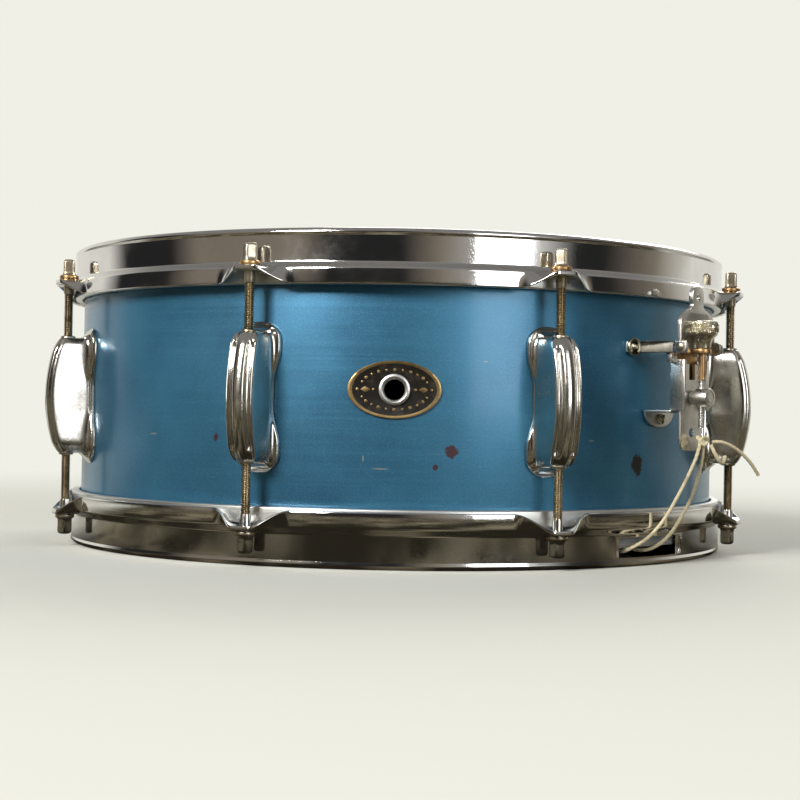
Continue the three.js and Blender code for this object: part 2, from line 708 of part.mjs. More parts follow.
add('shell', shell(), lacquer);
add('batter_reinforcement_ring', reinforcementRing(fromTop), maple);
add('snare_reinforcement_ring', reinforcementRing(fromBottom), maple);
add('batter_head_film', headFilm(fromTop), film);
add('snare_head_film', headFilm(fromBottom), clearFilm);
add('batter_flesh_hoop', fleshHoop(fromTop, SKIRT_END - 0.4), aluminium);
add('snare_flesh_hoop', fleshHoop(fromBottom, SKIRT_END + 0.8), aluminium);
add('batter_hoop', hoop(fromTop, TOP_EAR_SEAT), chrome);
add('snare_hoop', cut(hoop(fromBottom, BOTTOM_EAR_SEAT), gate(SNARE_AZ), gate(BUTT_AZ)), chrome);

const lugGeometry = lug();
const bottomRod = tensionRod(BOTTOM_EAR_SEAT);
const topRod = tensionRod(TOP_EAR_SEAT).rotateY(Math.PI).translate(0, 0, TOTAL_H);
for (let index = 0; index < LUG_COUNT; index += 1) {
  const azimuth = LUG_PITCH_DEG * (index + 0.5);
  add(`lug_${index + 1}`, lugGeometry, chrome, azimuth);
  add(`top_tension_rod_${index + 1}`, topRod, wornChrome, azimuth);
  add(`bottom_tension_rod_${index + 1}`, bottomRod, wornChrome, azimuth);
}

add('badge_plate', badge(), badgeBlack);
add('vent_grommet', ventGrommet(), aluminium, BADGE_AZ);

add('strainer_frame', strainerFrame(), chrome, STRAINER_AZ);
const footScrew = shellScrew(SHELL_R + GAP + PLATE + 0.4 + GAP, SCREW_HEAD_R).translate(0, 0, STRAP_Z);
const lowerScrew = shellScrew(SHELL_R + 2 * GAP + SHELF_T + GAP, LOWER_HEAD_R).translate(0, 0, LOWER_SCREW_Z);
add('strainer_screw_left', footScrew, wornChrome, STRAINER_AZ - SCREW_AZ);
add('strainer_screw_right', footScrew, wornChrome, STRAINER_AZ + SCREW_AZ);
add('strainer_screw_lower', lowerScrew, wornChrome, STRAINER_AZ);
add('screw_bracket', screwBracket(), wornChrome, STRAINER_AZ);
add('tension_knob', tensionKnob(), wornChrome, STRAINER_AZ);
add('carriage_plate', carriagePlate(), chrome, STRAINER_AZ);
add('barrel_nut', barrelNut(), chrome, STRAINER_AZ);
add('throw_lever', throwLever(), chrome, STRAINER_AZ);
add('lever_pivot_left', leverPivot(-1), chrome, STRAINER_AZ);
add('lever_pivot_right', leverPivot(1), chrome, STRAINER_AZ);

// The cord: a knot in front of the carriage plate, two strands down to the snares, two cut tails.
const knot = new THREE.SphereGeometry(KNOT_R, 10, 6).scale(1, 1, 0.9).rotateX(Math.PI / 2);
add('cord_knot', knot.translate(...polar(46.5, 204.2, 62)), cotton);
add('cord_strand_outer', cord([
  polar(45.8, 204.2, 58.2),
  polar(45.5, 202.4, 53),
  polar(44.2, 195.0, 34),
  polar(42.6, 189.5, 21),
  polar(40.6, 185.6, 13.4),
  polar(38.6, 182.4, 9.4),
  polar(38.0, 177.8, 7.2),
  polar(38.4, 171.0, 6.9),
], CORD_R, 16), cotton);
add('cord_strand_inner', cord([
  polar(46.6, 204.4, 58.2),
  polar(47.0, 202.8, 53),
  polar(47.8, 196.5, 36),
  polar(47.2, 191.4, 24.5),
  polar(45.8, 186.9, 14.6),
  polar(44.6, 182.6, 9.6),
  polar(43.8, 177.8, 7.2),
  polar(43.4, 171.0, 6.9),
], CORD_R, 16), cotton);
add('cord_tail_long', cord([
  polar(47.8, 206.8, 61.6),
  polar(49.0, 209.2, 61.6),
  polar(51.4, 212.6, 58.4),
  polar(53.9, 215.6, 52.4),
  polar(56.0, 217.6, 45.2),
], CORD_R, 9), cotton);
add('cord_tail_short', cord([
  polar(46.6, 208.5, 60.4),
  polar(46.9, 210.0, 56.4),
  polar(47.8, 210.8, 52.4),
  polar(49.0, 210.2, 51.2),
  polar(50.2, 209.2, 54.4),
], CORD_R, 9), cotton);

add('butt_plate', buttPlate(), chrome, BUTT_AZ);
add('butt_clamp', buttClamp(), chrome, BUTT_AZ);
const clampScrew = shellScrew(CLAMP_BACK + CLAMP_T + GAP, SCREW_HEAD_R).translate(0, 0, BUTT_Z);
add('butt_screw_left', clampScrew.clone().translate(-CLAMP_SCREW_T, 0, 0), wornChrome, BUTT_AZ);
add('butt_screw_right', clampScrew.clone().translate(CLAMP_SCREW_T, 0, 0), wornChrome, BUTT_AZ);
for (const [name, side] of [['butt_cord_left', -1], ['butt_cord_right', 1]]) {
  const held = BUTT_FACE + GAP + CORD_R;
  const line = [
    [held, BUTT_Z + 8],
    [held, BUTT_Z],
    [held, BUTT_Z - 6],
    [182.6, BUTT_Z - 10.5],
    [183.6, BUTT_Z - 16],
    [187.4, 40],
    [188.4, 24],
    [187.0, 14.4],
    [183.0, 9.4],
    [177.8, 7.0],
    [171.0, 6.9],
  ];
  const route = line.map(([r, z]) => [side * BUTT_CORD_T, -r, z]);
  add(name, cord(route, CORD_R, 16), cotton, BUTT_AZ);
}
add('snare_wires', snareWires(), steelWire, SNARE_AZ);

export default drum;
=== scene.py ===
"""A 14 x 5.5 inch snare drum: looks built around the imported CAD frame.

Shapes are worked out in millimetres in the frame's axes, and mesh_piece() turns them into metres.
An azimuth is measured about +Z from the badge side (-Y) towards +X. In a piece's own frame t runs
to the right, r runs outwards and z runs up.
"""

import math

import bmesh
import bpy
import numpy as np
from mathutils import Matrix, Quaternion, Vector


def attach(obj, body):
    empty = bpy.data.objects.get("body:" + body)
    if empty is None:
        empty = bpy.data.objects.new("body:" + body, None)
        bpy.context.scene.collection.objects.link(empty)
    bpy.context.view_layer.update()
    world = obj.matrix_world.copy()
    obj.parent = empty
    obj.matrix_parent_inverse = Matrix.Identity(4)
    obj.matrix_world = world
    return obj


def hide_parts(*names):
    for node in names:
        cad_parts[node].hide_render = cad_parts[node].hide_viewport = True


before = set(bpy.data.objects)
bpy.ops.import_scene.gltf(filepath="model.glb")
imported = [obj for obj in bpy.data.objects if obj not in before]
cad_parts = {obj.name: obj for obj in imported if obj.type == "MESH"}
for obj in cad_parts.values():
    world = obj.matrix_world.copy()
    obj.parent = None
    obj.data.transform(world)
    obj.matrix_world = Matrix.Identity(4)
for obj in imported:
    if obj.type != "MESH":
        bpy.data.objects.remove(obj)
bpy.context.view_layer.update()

MM = 0.001
SAME_POINT = 1e-7

# ---- sizes, as in the CAD ---------------------------------------------------------------------

SHELL_R = 177.8
SHELL_WALL = 5.0
RIM_STAND = 9.8
TOTAL_H = 159.3
MID_H = TOTAL_H / 2
GAP = 0.3
FILM = 0.5
RING_H = 38.0
RING_WALL = 5.0
BEVEL = 3.8
FLESH_SEAT = 20.0
HOOP_WALL_R = 182.8

ROD_CIRCLE_R = 190.6
LUG_COUNT = 8
LUG_AZIMUTHS = [22.5 + 45.0 * index for index in range(LUG_COUNT)]
TOP_EAR_SEAT = 18.4
BOTTOM_EAR_SEAT = 17.0
SKIRT_END = 27.0

BADGE_AZ = -1.45
BADGE_Z = 84.0
BADGE_W = 44.2
BADGE_H = 27.1
VENT_R = 6.0

STRAINER_AZ = 46.1
SNARE_AZ = 43.5
BUTT_AZ = SNARE_AZ + 180
BUTT_Z = 76.0
BUTT_FACE = SHELL_R + 2 * GAP + 1.6
KNOB_R_AXIS = 204.0
PIVOT_R = 202.0
CORD_R = 0.95

# ---- camera -----------------------------------------------------------------------------------

CAMERA_AZ = -1.05
CAMERA_DISTANCE = 0.925
CAMERA_HEIGHT = 0.0722
CAMERA_LENS = 72.1
CAMERA_PITCH = math.radians(0.54)
CAMERA_YAW = math.radians(-0.11)
CAMERA_ROLL = math.radians(1.0)


def add_camera():
    """A long lens at mid height of the drum, looking level at the badge side."""
    data = bpy.data.cameras.new("camera")
    data.lens = CAMERA_LENS
    data.sensor_width = 36.0
    camera = bpy.data.objects.new("camera", data)
    bpy.context.scene.collection.objects.link(camera)
    azimuth = math.radians(CAMERA_AZ)
    place = Vector((CAMERA_DISTANCE * math.sin(azimuth), -CAMERA_DISTANCE * math.cos(azimuth), CAMERA_HEIGHT))
    heading = azimuth + CAMERA_YAW
    ahead = Vector((-math.sin(heading), math.cos(heading), math.tan(CAMERA_PITCH)))
    camera.rotation_mode = "QUATERNION"
    level = ahead.to_track_quat("-Z", "Y")
    camera.rotation_quaternion = level @ Quaternion((0, 0, 1), CAMERA_ROLL)
    camera.location = place
    bpy.context.scene.camera = camera


add_camera()


# ---- mesh helpers -----------------------------------------------------------------------------

def polar(azimuth, radius, z):
    """A point given by azimuth in degrees, radius and height."""
    angle = math.radians(azimuth)
    return np.array([radius * math.sin(angle), -radius * math.cos(angle), z])


def turned_by(azimuth):
    return Matrix.Rotation(math.radians(azimuth), 4, "Z")


def mesh_piece(name, verts, faces, look, azimuth=0.0, sharp=35.0):
    """A new object from vertices in millimetres, with its normals pointing outwards."""
    mesh = bpy.data.meshes.new(name)
    mesh.from_pydata((np.asarray(verts, float) * MM).tolist(), [], [list(f) for f in faces])
    clean = bmesh.new()
    clean.from_mesh(mesh)
    bmesh.ops.remove_doubles(clean, verts=clean.verts, dist=SAME_POINT)
    bmesh.ops.recalc_face_normals(clean, faces=clean.faces)
    clean.to_mesh(mesh)
    clean.free()
    mesh.transform(turned_by(azimuth))
    mesh.shade_smooth()
    mesh.set_sharp_from_angle(angle=math.radians(sharp))
    obj = bpy.data.objects.new(name, mesh)
    bpy.context.scene.collection.objects.link(obj)
    for material in look if isinstance(look, (list, tuple)) else [look]:
        mesh.materials.append(material)
    return obj


def grid_faces(rows, columns, wrap_rows=False, wrap_columns=False):
    """Quads of a grid of vertices stored row by row."""
    faces = []
    for i in range(rows if wrap_rows else rows - 1):
        for j in range(columns if wrap_columns else columns - 1):
            i2 = (i + 1) % rows
            j2 = (j + 1) % columns
            faces.append((i * columns + j, i * columns + j2, i2 * columns + j2, i2 * columns + j))
    return faces


class Shape:
    """Collects several closed shells that make one piece."""

    def __init__(self):
        self.verts = []
        self.faces = []
        self.slots = []

    def add(self, verts, faces, slot=0, matrix=None):
        start = len(self.verts)
        points = np.asarray(verts, float)
        if matrix is not None:
            turn = np.array(matrix)
            points = points @ turn[:3, :3].T + turn[:3, 3]
        self.verts.extend(points.tolist())
        self.faces.extend([tuple(start + index for index in face) for face in faces])
        self.slots.extend([slot] * len(faces))

    def plate(self, outline, low, high, edge, steps=2, slot=0, matrix=None):
        self.add(*bevelled_plate(outline, low, high, edge, steps), slot, matrix)

    def turned(self, profile, segments, closed=False, slot=0, matrix=None):
        self.add(*lathe(profile, segments, closed), slot, matrix)

    def piece(self, name, look, azimuth=0.0, sharp=35.0):
        obj = mesh_piece(name, self.verts, self.faces, look, azimuth, sharp)
        if any(self.slots) and len(obj.data.polygons) == len(self.slots):
            obj.data.polygons.foreach_set("material_index", self.slots)
        return obj


def rounded(points, radii, steps=3):
    """The corners of a closed outline replaced by arcs, each with the same number of points."""
    points = [np.array(p, float) for p in points]
    out = []
    for index, corner in enumerate(points):
        before = points[index - 1] - corner
        after = points[(index + 1) % len(points)] - corner
        a, b = np.linalg.norm(before), np.linalg.norm(after)
        u, v = before / a, after / b
        half = math.acos(np.clip(u @ v, -1, 1)) / 2
        reach = min(radii[index] / max(math.tan(half), 1e-6), 0.48 * a, 0.48 * b)
        for step in range(steps + 1):
            s = step / steps
            start, end = corner + u * reach, corner + v * reach
            out.append((1 - s) ** 2 * start + 2 * s * (1 - s) * corner + s ** 2 * end)
    return np.array(out)


def spline(points, per_span):
    """A centripetal Catmull-Rom curve through the points."""
    points = np.asarray(points, float)
    ends = np.vstack([2 * points[0] - points[1], points, 2 * points[-1] - points[-2]])
    out = []
    for i in range(1, len(ends) - 2):
        p = ends[i - 1:i + 3]
        steps = np.maximum(np.linalg.norm(np.diff(p, axis=0), axis=1), 1e-9) ** 0.5
        knots = np.concatenate([[0], np.cumsum(steps)])

        def between(start, end, low, high, t):
            return ((high - t) * start + (t - low) * end) / (high - low)

        for k in range(per_span):
            t = knots[1] + (knots[2] - knots[1]) * k / per_span
            a = [between(p[j], p[j + 1], knots[j], knots[j + 1], t) for j in range(3)]
            b = [between(a[j], a[j + 1], knots[j], knots[j + 2], t) for j in range(2)]
            out.append(between(b[0], b[1], knots[1], knots[2], t))
    out.append(points[-1])
    return np.array(out)


def lathe(profile, segments, closed=False):
    """A profile of (radius, height) turned about Z. An open profile starts and ends on the axis."""
    profile = np.asarray(profile, float)
    angles = np.linspace(0, 2 * math.pi, segments, endpoint=False)
    verts = np.stack([np.outer(np.sin(angles), profile[:, 0]), -np.outer(np.cos(angles), profile[:, 0]),
                      np.tile(profile[:, 1], (segments, 1))], axis=2).reshape(-1, 3)
    return verts, grid_faces(segments, len(profile), wrap_rows=True, wrap_columns=closed)


def loft(sections):
    """Closed loops with equal counts joined into a skin with flat ends."""
    count = len(sections[0])
    verts = np.concatenate([np.asarray(s, float) for s in sections])
    faces = grid_faces(len(sections), count, wrap_columns=True)
    faces.append(tuple(range(count)))
    faces.append(tuple(reversed(range((len(sections) - 1) * count, len(sections) * count))))
    return verts, faces


def bevelled_plate(outline, low, high, edge, steps=2):
    """A flat outline in (x, y) made into a plate from z = low to high with rounded edges."""
    outline = np.asarray(outline, float)
    x, y = outline.T
    if np.sum(x * np.roll(y, -1) - np.roll(x, -1) * y) < 0:
        outline = outline[::-1]
    before = outline - np.roll(outline, 1, axis=0)
    after = np.roll(outline, -1, axis=0) - outline
    n1 = np.stack([before[:, 1], -before[:, 0]], 1)
    n2 = np.stack([after[:, 1], -after[:, 0]], 1)
    n1 /= np.maximum(np.linalg.norm(n1, axis=1, keepdims=True), 1e-9)
    n2 /= np.maximum(np.linalg.norm(n2, axis=1, keepdims=True), 1e-9)
    mitre = n1 + n2
    mitre /= np.maximum((mitre * n1).sum(1, keepdims=True), 0.35)
    sections = []
    for step in range(steps + 1):
        angle = math.pi / 2 * step / steps
        ring = outline - mitre * edge * (1 - math.sin(angle))
        sections.append(np.column_stack([ring, np.full(len(ring), low + edge * (1 - math.cos(angle)))]))
    for step in range(steps + 1):
        angle = math.pi / 2 * step / steps
        ring = outline - mitre * edge * (1 - math.cos(angle))
        sections.append(np.column_stack([ring, np.full(len(ring), high - edge * (1 - math.sin(angle)))]))
    return loft(sections)


# (x, y, z) of a plate drawn flat becomes (t, -r, z): the outline stands upright and faces outwards.
UPRIGHT = Matrix(((1, 0, 0, 0), (0, 0, -1, 0), (0, 1, 0, 0), (0, 0, 0, 1)))
# The outline (x, y) becomes (-r, z) and its thickness runs along t.
SIDEWAYS = Matrix(((0, 0, 1, 0), (1, 0, 0, 0), (0, 1, 0, 0), (0, 0, 0, 1)))


def moved(t=0.0, r=0.0, z=0.0):
    return Matrix.Translation((t, -r, z))


def facing_out(azimuth, t, r, z):
    """Places a piece drawn along +Z so that it points outwards at that place."""
    return turned_by(azimuth) @ moved(t, r, z) @ Matrix.Rotation(math.pi / 2, 4, "X")


def rounded_rectangle(width, height, corner, x=0.0, y=0.0, steps=5):
    w, h = width / 2, height / 2
    points = [(x - w, y - h), (x + w, y - h), (x + w, y + h), (x - w, y + h)]
    return rounded(points, [corner] * 4, steps)


def superellipse(half_w, half_h, power, count):
    angles = np.linspace(0, 2 * math.pi, count, endpoint=False)
    c, s = np.cos(angles), np.sin(angles)
    scale = (np.abs(c / half_w) ** power + np.abs(s / half_h) ** power) ** (-1 / power)
    return np.column_stack([c * scale, s * scale])


def carve(obj, *cutters):
    """Cuts the cutters out of the object and deletes them."""
    for cutter in cutters:
        modifier = obj.modifiers.new("cut", "BOOLEAN")
        modifier.operation = "DIFFERENCE"
        modifier.solver = "EXACT"
        modifier.object = cutter
    bpy.context.view_layer.update()
    graph = bpy.context.evaluated_depsgraph_get()
    result = bpy.data.meshes.new_from_object(obj.evaluated_get(graph))
    obj.modifiers.clear()
    obj.data = result
    for cutter in cutters:
        bpy.data.objects.remove(cutter)


def merged(obj, other):
    """Adds the other object's mesh to this one as further closed shells."""
    both = bmesh.new()
    both.from_mesh(obj.data)
    both.from_mesh(other.data)
    both.to_mesh(obj.data)
    both.free()
    bpy.data.objects.remove(other)
    obj.data.set_sharp_from_angle(angle=math.radians(40))


def tube(points, radius, sides, lobes=0, lobe_depth=0.0, twist=0.0):
    """A closed tube along points; with lobes it is a laid cord of that many strands."""
    points = np.asarray(points, float)
    tangents = np.gradient(points, axis=0)
    tangents /= np.linalg.norm(tangents, axis=1, keepdims=True)
    normal = np.cross(tangents[0], [0.3, 0.2, 1.0])
    normal /= np.linalg.norm(normal)
    lengths = np.concatenate([[0], np.cumsum(np.linalg.norm(np.diff(points, axis=0), axis=1))])
    angles = np.linspace(0, 2 * math.pi, sides, endpoint=False)
    sections = []
    for index, (point, tangent) in enumerate(zip(points, tangents)):
        normal = normal - tangent * (normal @ tangent)
        normal /= np.linalg.norm(normal)
        side = np.cross(tangent, normal)
        reach = np.full(sides, radius)
        if lobes:
            reach = radius * (1 - lobe_depth * (0.5 + 0.5 * np.cos(lobes * angles - twist * lengths[index])))
        ring = np.outer(np.cos(angles), normal) + np.outer(np.sin(angles), side)
        sections.append(point + reach[:, None] * ring)
    return loft(sections)


def smooth_step(value):
    value = np.clip(value, 0, 1)
    return value * value * (3 - 2 * value)


# ---- materials --------------------------------------------------------------------------------

class Nodes:
    """Short calls for building a node tree. A value may be a number, a colour or another node's output."""

    def __init__(self, tree):
        self.tree = tree

    def node(self, kind, **values):
        node = self.tree.nodes.new(kind)
        for key, value in values.items():
            setattr(node, key, value)
        return node

    def link(self, source, target):
        self.tree.links.new(source, target)

    def feed(self, sockets, values):
        for socket, value in zip(sockets, values):
            if isinstance(value, tuple):
                socket.default_value = (*value, 1)
            elif isinstance(value, (int, float)):
                socket.default_value = value
            else:
                self.link(value, socket)

    def math(self, operation, a, b=0.0):
        node = self.node("ShaderNodeMath", operation=operation)
        self.feed(node.inputs, (a, b))
        return node.outputs[0]

    def mix(self, factor, a, b):
        node = self.node("ShaderNodeMix", data_type="RGBA")
        self.feed((node.inputs[0], node.inputs[6], node.inputs[7]), (factor, a, b))
        return node.outputs[2]

    def mix_shaders(self, factor, a, b):
        node = self.node("ShaderNodeMixShader")
        self.feed(node.inputs, (factor, a, b))
        return node.outputs[0]

    def fade(self, value, start, end):
        """A smooth rise from 0 at start to 1 at end."""
        node = self.node("ShaderNodeMapRange", interpolation_type="SMOOTHSTEP")
        self.link(value, node.inputs["Value"])
        node.inputs["From Min"].default_value = start
        node.inputs["From Max"].default_value = end
        return node.outputs[0]

    def ramp(self, value, *stops):
        """A ramp through (place, grey level) or (place, colour) stops."""
        node = self.node("ShaderNodeValToRGB")
        self.link(value, node.inputs[0])
        elements = node.color_ramp.elements
        for index, (place, level) in enumerate(stops):
            element = elements[index] if index < 2 else elements.new(place)
            element.position = place
            element.color = (*level, 1) if isinstance(level, tuple) else (level, level, level, 1)
        return node.outputs["Color"]

    def separated(self, vector):
        node = self.node("ShaderNodeSeparateXYZ")
        self.link(vector, node.inputs[0])
        return node.outputs

    def vector_math(self, operation, vector, value):
        node = self.node("ShaderNodeVectorMath", operation=operation)
        self.link(vector, node.inputs[0])
        node.inputs[1].default_value = value
        return node.outputs[0]

    def length(self, vector):
        node = self.node("ShaderNodeVectorMath", operation="LENGTH")
        self.link(vector, node.inputs[0])
        return node.outputs["Value"]

    def camera_ray(self):
        return self.node("ShaderNodeLightPath").outputs["Is Camera Ray"]


class Look(Nodes):
    """A node material around one Principled shader, in object coordinates."""

    def __init__(self, name, colour, roughness, metallic=0.0):
        self.material = bpy.data.materials.new(name)
        self.material.use_nodes = True
        super().__init__(self.material.node_tree)
        self.shader = self.tree.nodes["Principled BSDF"]
        self.set("Base Color", (*colour, 1))
        self.set("Roughness", roughness)
        self.set("Metallic", metallic)
        self.place = self.node("ShaderNodeTexCoord").outputs["Object"]
        self.height = None

    def set(self, socket, value):
        self.shader.inputs[socket].default_value = value

    def put(self, source, socket):
        self.link(source, self.shader.inputs[socket])

    def stretched(self, scale):
        node = self.node("ShaderNodeMapping")
        self.link(self.place, node.inputs["Vector"])
        node.inputs["Scale"].default_value = scale
        return node.outputs[0]

    def noise(self, scale, detail=2.0, vector=None, roughness=0.5, distortion=0.0):
        node = self.node("ShaderNodeTexNoise")
        self.link(vector if vector is not None else self.place, node.inputs["Vector"])
        node.inputs["Scale"].default_value = scale
        node.inputs["Detail"].default_value = detail
        node.inputs["Roughness"].default_value = roughness
        node.inputs["Distortion"].default_value = distortion
        return node.outputs["Fac"]

    def bump(self, height, strength, distance):
        node = self.node("ShaderNodeBump")
        node.inputs["Strength"].default_value = strength
        node.inputs["Distance"].default_value = distance
        self.link(height, node.inputs["Height"])
        if self.height is not None:
            self.link(self.height, node.inputs["Normal"])
        self.height = node.outputs["Normal"]
        self.put(self.height, "Normal")


def plating(name, colour, tarnish, wear, roughness):
    """Polished plating that has gone dull and pitted in places."""
    look = Look(name, colour, roughness, 1.0)
    patches = look.noise(38, 5, roughness=0.65)
    pits = look.ramp(look.noise(900, 3, roughness=0.7), (0.55, 0), (0.68, 1))
    dull = look.math("MULTIPLY", look.ramp(patches, (0.42, 0), (0.7, 1)), wear)
    pitted = look.math("MULTIPLY", pits, look.ramp(patches, (0.45, 0), (0.62, 1)))
    specks = look.math("MULTIPLY", pitted, wear)
    stained = look.math("MAXIMUM", look.math("MULTIPLY", dull, 0.5), specks)
    look.put(look.mix(stained, colour, tarnish), "Base Color")
    worn = look.math("MULTIPLY", look.math("MAXIMUM", dull, specks), 0.3)
    look.put(look.math("ADD", worn, roughness), "Roughness")
    look.bump(pits, 0.25 * wear, 0.00004)
    look.bump(look.noise(55, 1), 0.1, 0.0003)
    return look.material


def lacquer():
    """Blue metallic lacquer with a fine grain, rubbed and chipped."""
    deep, bright = (0.026, 0.121, 0.226), (0.055, 0.230, 0.385)
    look = Look("blue_lacquer", bright, 0.33, 0.55)
    lines = look.noise(1.0, 4, look.stretched((9, 9, 900)), 0.6)
    cloud = look.noise(14, 4, roughness=0.55)
    flake = look.noise(1900, 2, roughness=0.7)
    tone = look.math("ADD", look.math("MULTIPLY", lines, 0.16), look.math("MULTIPLY", cloud, 0.84))
    colour = look.mix(look.ramp(tone, (0.3, 0), (0.7, 1)), deep, bright)
    sparkle = look.math("MULTIPLY", look.ramp(flake, (0.5, 0), (0.72, 1)), 0.35)
    colour = look.mix(sparkle, colour, (0.14, 0.40, 0.60))
    fine_lines = look.ramp(look.noise(1, 2, look.stretched((60, 60, 1900)), 0.6), (0.69, 0), (0.74, 1))
    rubbed = look.ramp(look.noise(22, 2), (0.52, 0), (0.62, 1))
    scratches = look.math("MULTIPLY", fine_lines, rubbed)
    colour = look.mix(look.math("MULTIPLY", scratches, 0.55), colour, (0.32, 0.42, 0.45))
    for azimuth, z, wide, high, tint in CHIPS:
        mask = chip_mask(look, azimuth, z, wide, high)
        colour = look.mix(mask, colour, tint)
    look.put(colour, "Base Color")
    look.put(look.math("ADD", look.math("MULTIPLY", look.math("ADD", cloud, lines), 0.16), 0.2), "Roughness")
    look.set("Coat Weight", 0.45)
    look.set("Coat Roughness", 0.16)
    look.bump(flake, 0.12, 0.00006)
    return look.material


# Worn spots of the lacquer: azimuth, height, width and height of the spot in mm, and its colour.
CHIP_RED = (0.085, 0.045, 0.055)
CHIP_DARK = (0.022, 0.02, 0.022)
CHIP_PALE = (0.27, 0.33, 0.34)
CHIPS = [
    (7.4, 55.4, 7.4, 6.4, CHIP_RED),
    (4.9, 48.0, 2.6, 3.0, CHIP_RED),
    (-30.2, 60.0, 3.0, 4.4, CHIP_RED),
    (41.1, 49.5, 8.6, 12.0, CHIP_DARK),
    (-3.4, 47.0, 8.6, 0.9, CHIP_PALE),
    (-6.0, 51.6, 0.8, 3.4, CHIP_PALE),
    (-43.6, 61.0, 6.0, 0.8, CHIP_PALE),
    (31.0, 61.4, 3.4, 0.7, CHIP_PALE),
    (12.4, 98.0, 2.6, 0.6, CHIP_PALE),
    (118.0, 52.0, 5.0, 4.0, CHIP_RED),
    (163.0, 44.0, 3.6, 0.8, CHIP_PALE),
    (-96.0, 96.0, 4.4, 2.6, CHIP_RED),
    (-171.0, 108.0, 3.0, 0.8, CHIP_PALE),
]


def chip_mask(look, azimuth, z, wide, high):
    """1 inside a ragged oval on the shell, 0 outside."""
    offset = look.vector_math("SUBTRACT", look.place, polar(azimuth, SHELL_R, z) * MM)
    turned = look.node("ShaderNodeVectorRotate", rotation_type="Z_AXIS")
    look.link(offset, turned.inputs["Vector"])
    turned.inputs["Angle"].default_value = -math.radians(azimuth)
    sized = look.vector_math("MULTIPLY", turned.outputs[0], (2 / (wide * MM), 60.0, 2 / (high * MM)))
    rough_edge = look.math("MULTIPLY", look.noise(420, 3, roughness=0.7), 1.3)
    ragged = look.math("ADD", look.length(sized), rough_edge)
    return look.ramp(look.math("SUBTRACT", ragged, 0.6), (0.82, 1), (1.02, 0))


def maple():
    look = Look("maple", (0.62, 0.44, 0.25), 0.55)
    grain = look.noise(1.0, 5, look.stretched((14, 14, 220)), 0.6, 0.4)
    streaks = look.ramp(grain, (0.35, 0), (0.68, 1))
    look.put(look.mix(streaks, (0.70, 0.52, 0.31), (0.47, 0.30, 0.15)), "Base Color")
    look.bump(grain, 0.2, 0.0003)
    return look.material


def skin(name, colour, roughness, clear=0.0):
    """A drum skin; a clear one lets light through and is a little hazy."""
    look = Look(name, colour, roughness)
    texture = look.noise(1500, 2)
    cloud = look.noise(16, 4)
    darker = tuple(value * 0.86 for value in colour)
    look.put(look.mix(look.ramp(cloud, (0.45, 0), (0.75, 1)), colour, darker), "Base Color")
    look.bump(texture, 0.3 if not clear else 0.05, 0.0001)
    if clear:
        look.set("Transmission Weight", clear)
        look.set("IOR", 1.2)
    return look.material


def tarnished(name, bright, dark, roughness, scale=260):
    look = Look(name, bright, roughness, 1.0)
    mottle = look.noise(scale, 4, roughness=0.7)
    broad = look.noise(60, 3)
    blend = look.math("MULTIPLY", look.math("ADD", mottle, broad), 0.5)
    look.put(look.mix(look.ramp(blend, (0.42, 0), (0.6, 1)), bright, dark), "Base Color")
    look.put(look.math("ADD", look.math("MULTIPLY", mottle, 0.25), roughness - 0.1), "Roughness")
    look.bump(mottle, 0.2, 0.00006)
    return look.material


def aluminium():
    look = Look("bare_aluminium", (0.78, 0.78, 0.76), 0.33, 1.0)
    lines = look.noise(1.0, 3, look.stretched((12, 12, 1500)))
    look.put(look.mix(lines, (0.82, 0.82, 0.80), (0.62, 0.62, 0.60)), "Base Color")
    look.put(look.math("ADD", look.math("MULTIPLY", lines, 0.3), 0.22), "Roughness")
    look.bump(lines, 0.1, 0.00005)
    return look.material


def cotton():
    look = Look("waxed_cotton", (0.76, 0.68, 0.44), 0.82)
    fibres = look.noise(1800, 3, roughness=0.7)
    grime = look.noise(130, 3)
    colour = look.mix(look.ramp(fibres, (0.35, 0), (0.7, 1)), (0.84, 0.76, 0.52), (0.58, 0.48, 0.27))
    look.put(look.mix(look.ramp(grime, (0.55, 0), (0.75, 1)), colour, (0.36, 0.29, 0.17)), "Base Color")
    look.set("Sheen Weight", 0.25)
    look.bump(fibres, 0.6, 0.00015)
    return look.material


def enamel():
    black = (0.012, 0.010, 0.008)
    look = Look("black_enamel", black, 0.28)
    rub = look.noise(240, 4, roughness=0.7)
    look.put(look.mix(look.ramp(rub, (0.52, 0), (0.78, 1)), black, (0.06, 0.045, 0.03)), "Base Color")
    look.put(look.math("ADD", look.math("MULTIPLY", rub, 0.3), 0.18), "Roughness")
    look.bump(rub, 0.1, 0.00005)
    return look.material


CHROME = plating("hoop_chrome", (0.78, 0.77, 0.76), (0.30, 0.24, 0.17), 0.35, 0.05)
LUG_CHROME = plating("lug_chrome", (0.69, 0.68, 0.64), (0.28, 0.22, 0.15), 0.8, 0.10)
STRAINER_CHROME = plating("strainer_chrome", (0.76, 0.75, 0.71), (0.32, 0.27, 0.18), 0.8, 0.26)
LACQUER = lacquer()
MAPLE = maple()
COATED = skin("coated_skin", (0.72, 0.705, 0.65), 0.62)
CLEAR = skin("clear_skin", (0.86, 0.88, 0.88), 0.22, 0.75)
ALUMINIUM = aluminium()
NICKEL = tarnished("tarnished_nickel", (0.62, 0.56, 0.45), (0.34, 0.28, 0.19), 0.3)
BRASS = tarnished("worn_brass", (0.72, 0.47, 0.22), (0.42, 0.25, 0.12), 0.34)
BRONZE = tarnished("thread_bronze", (0.52, 0.44, 0.30), (0.22, 0.16, 0.09), 0.27)
PALE_NICKEL = tarnished("pale_nickel", (0.80, 0.76, 0.64), (0.50, 0.45, 0.33), 0.22)
# The straps' nickel is a paler copy with more roughness. The rougher finish is real; the paler colour is
# painted light, so the straps read as brightly lit.
STRAP_NICKEL_PAINTED_LIGHT = tarnished("strap_nickel_painted_light", (0.88, 0.86, 0.78), (0.60, 0.55, 0.45), 0.46)
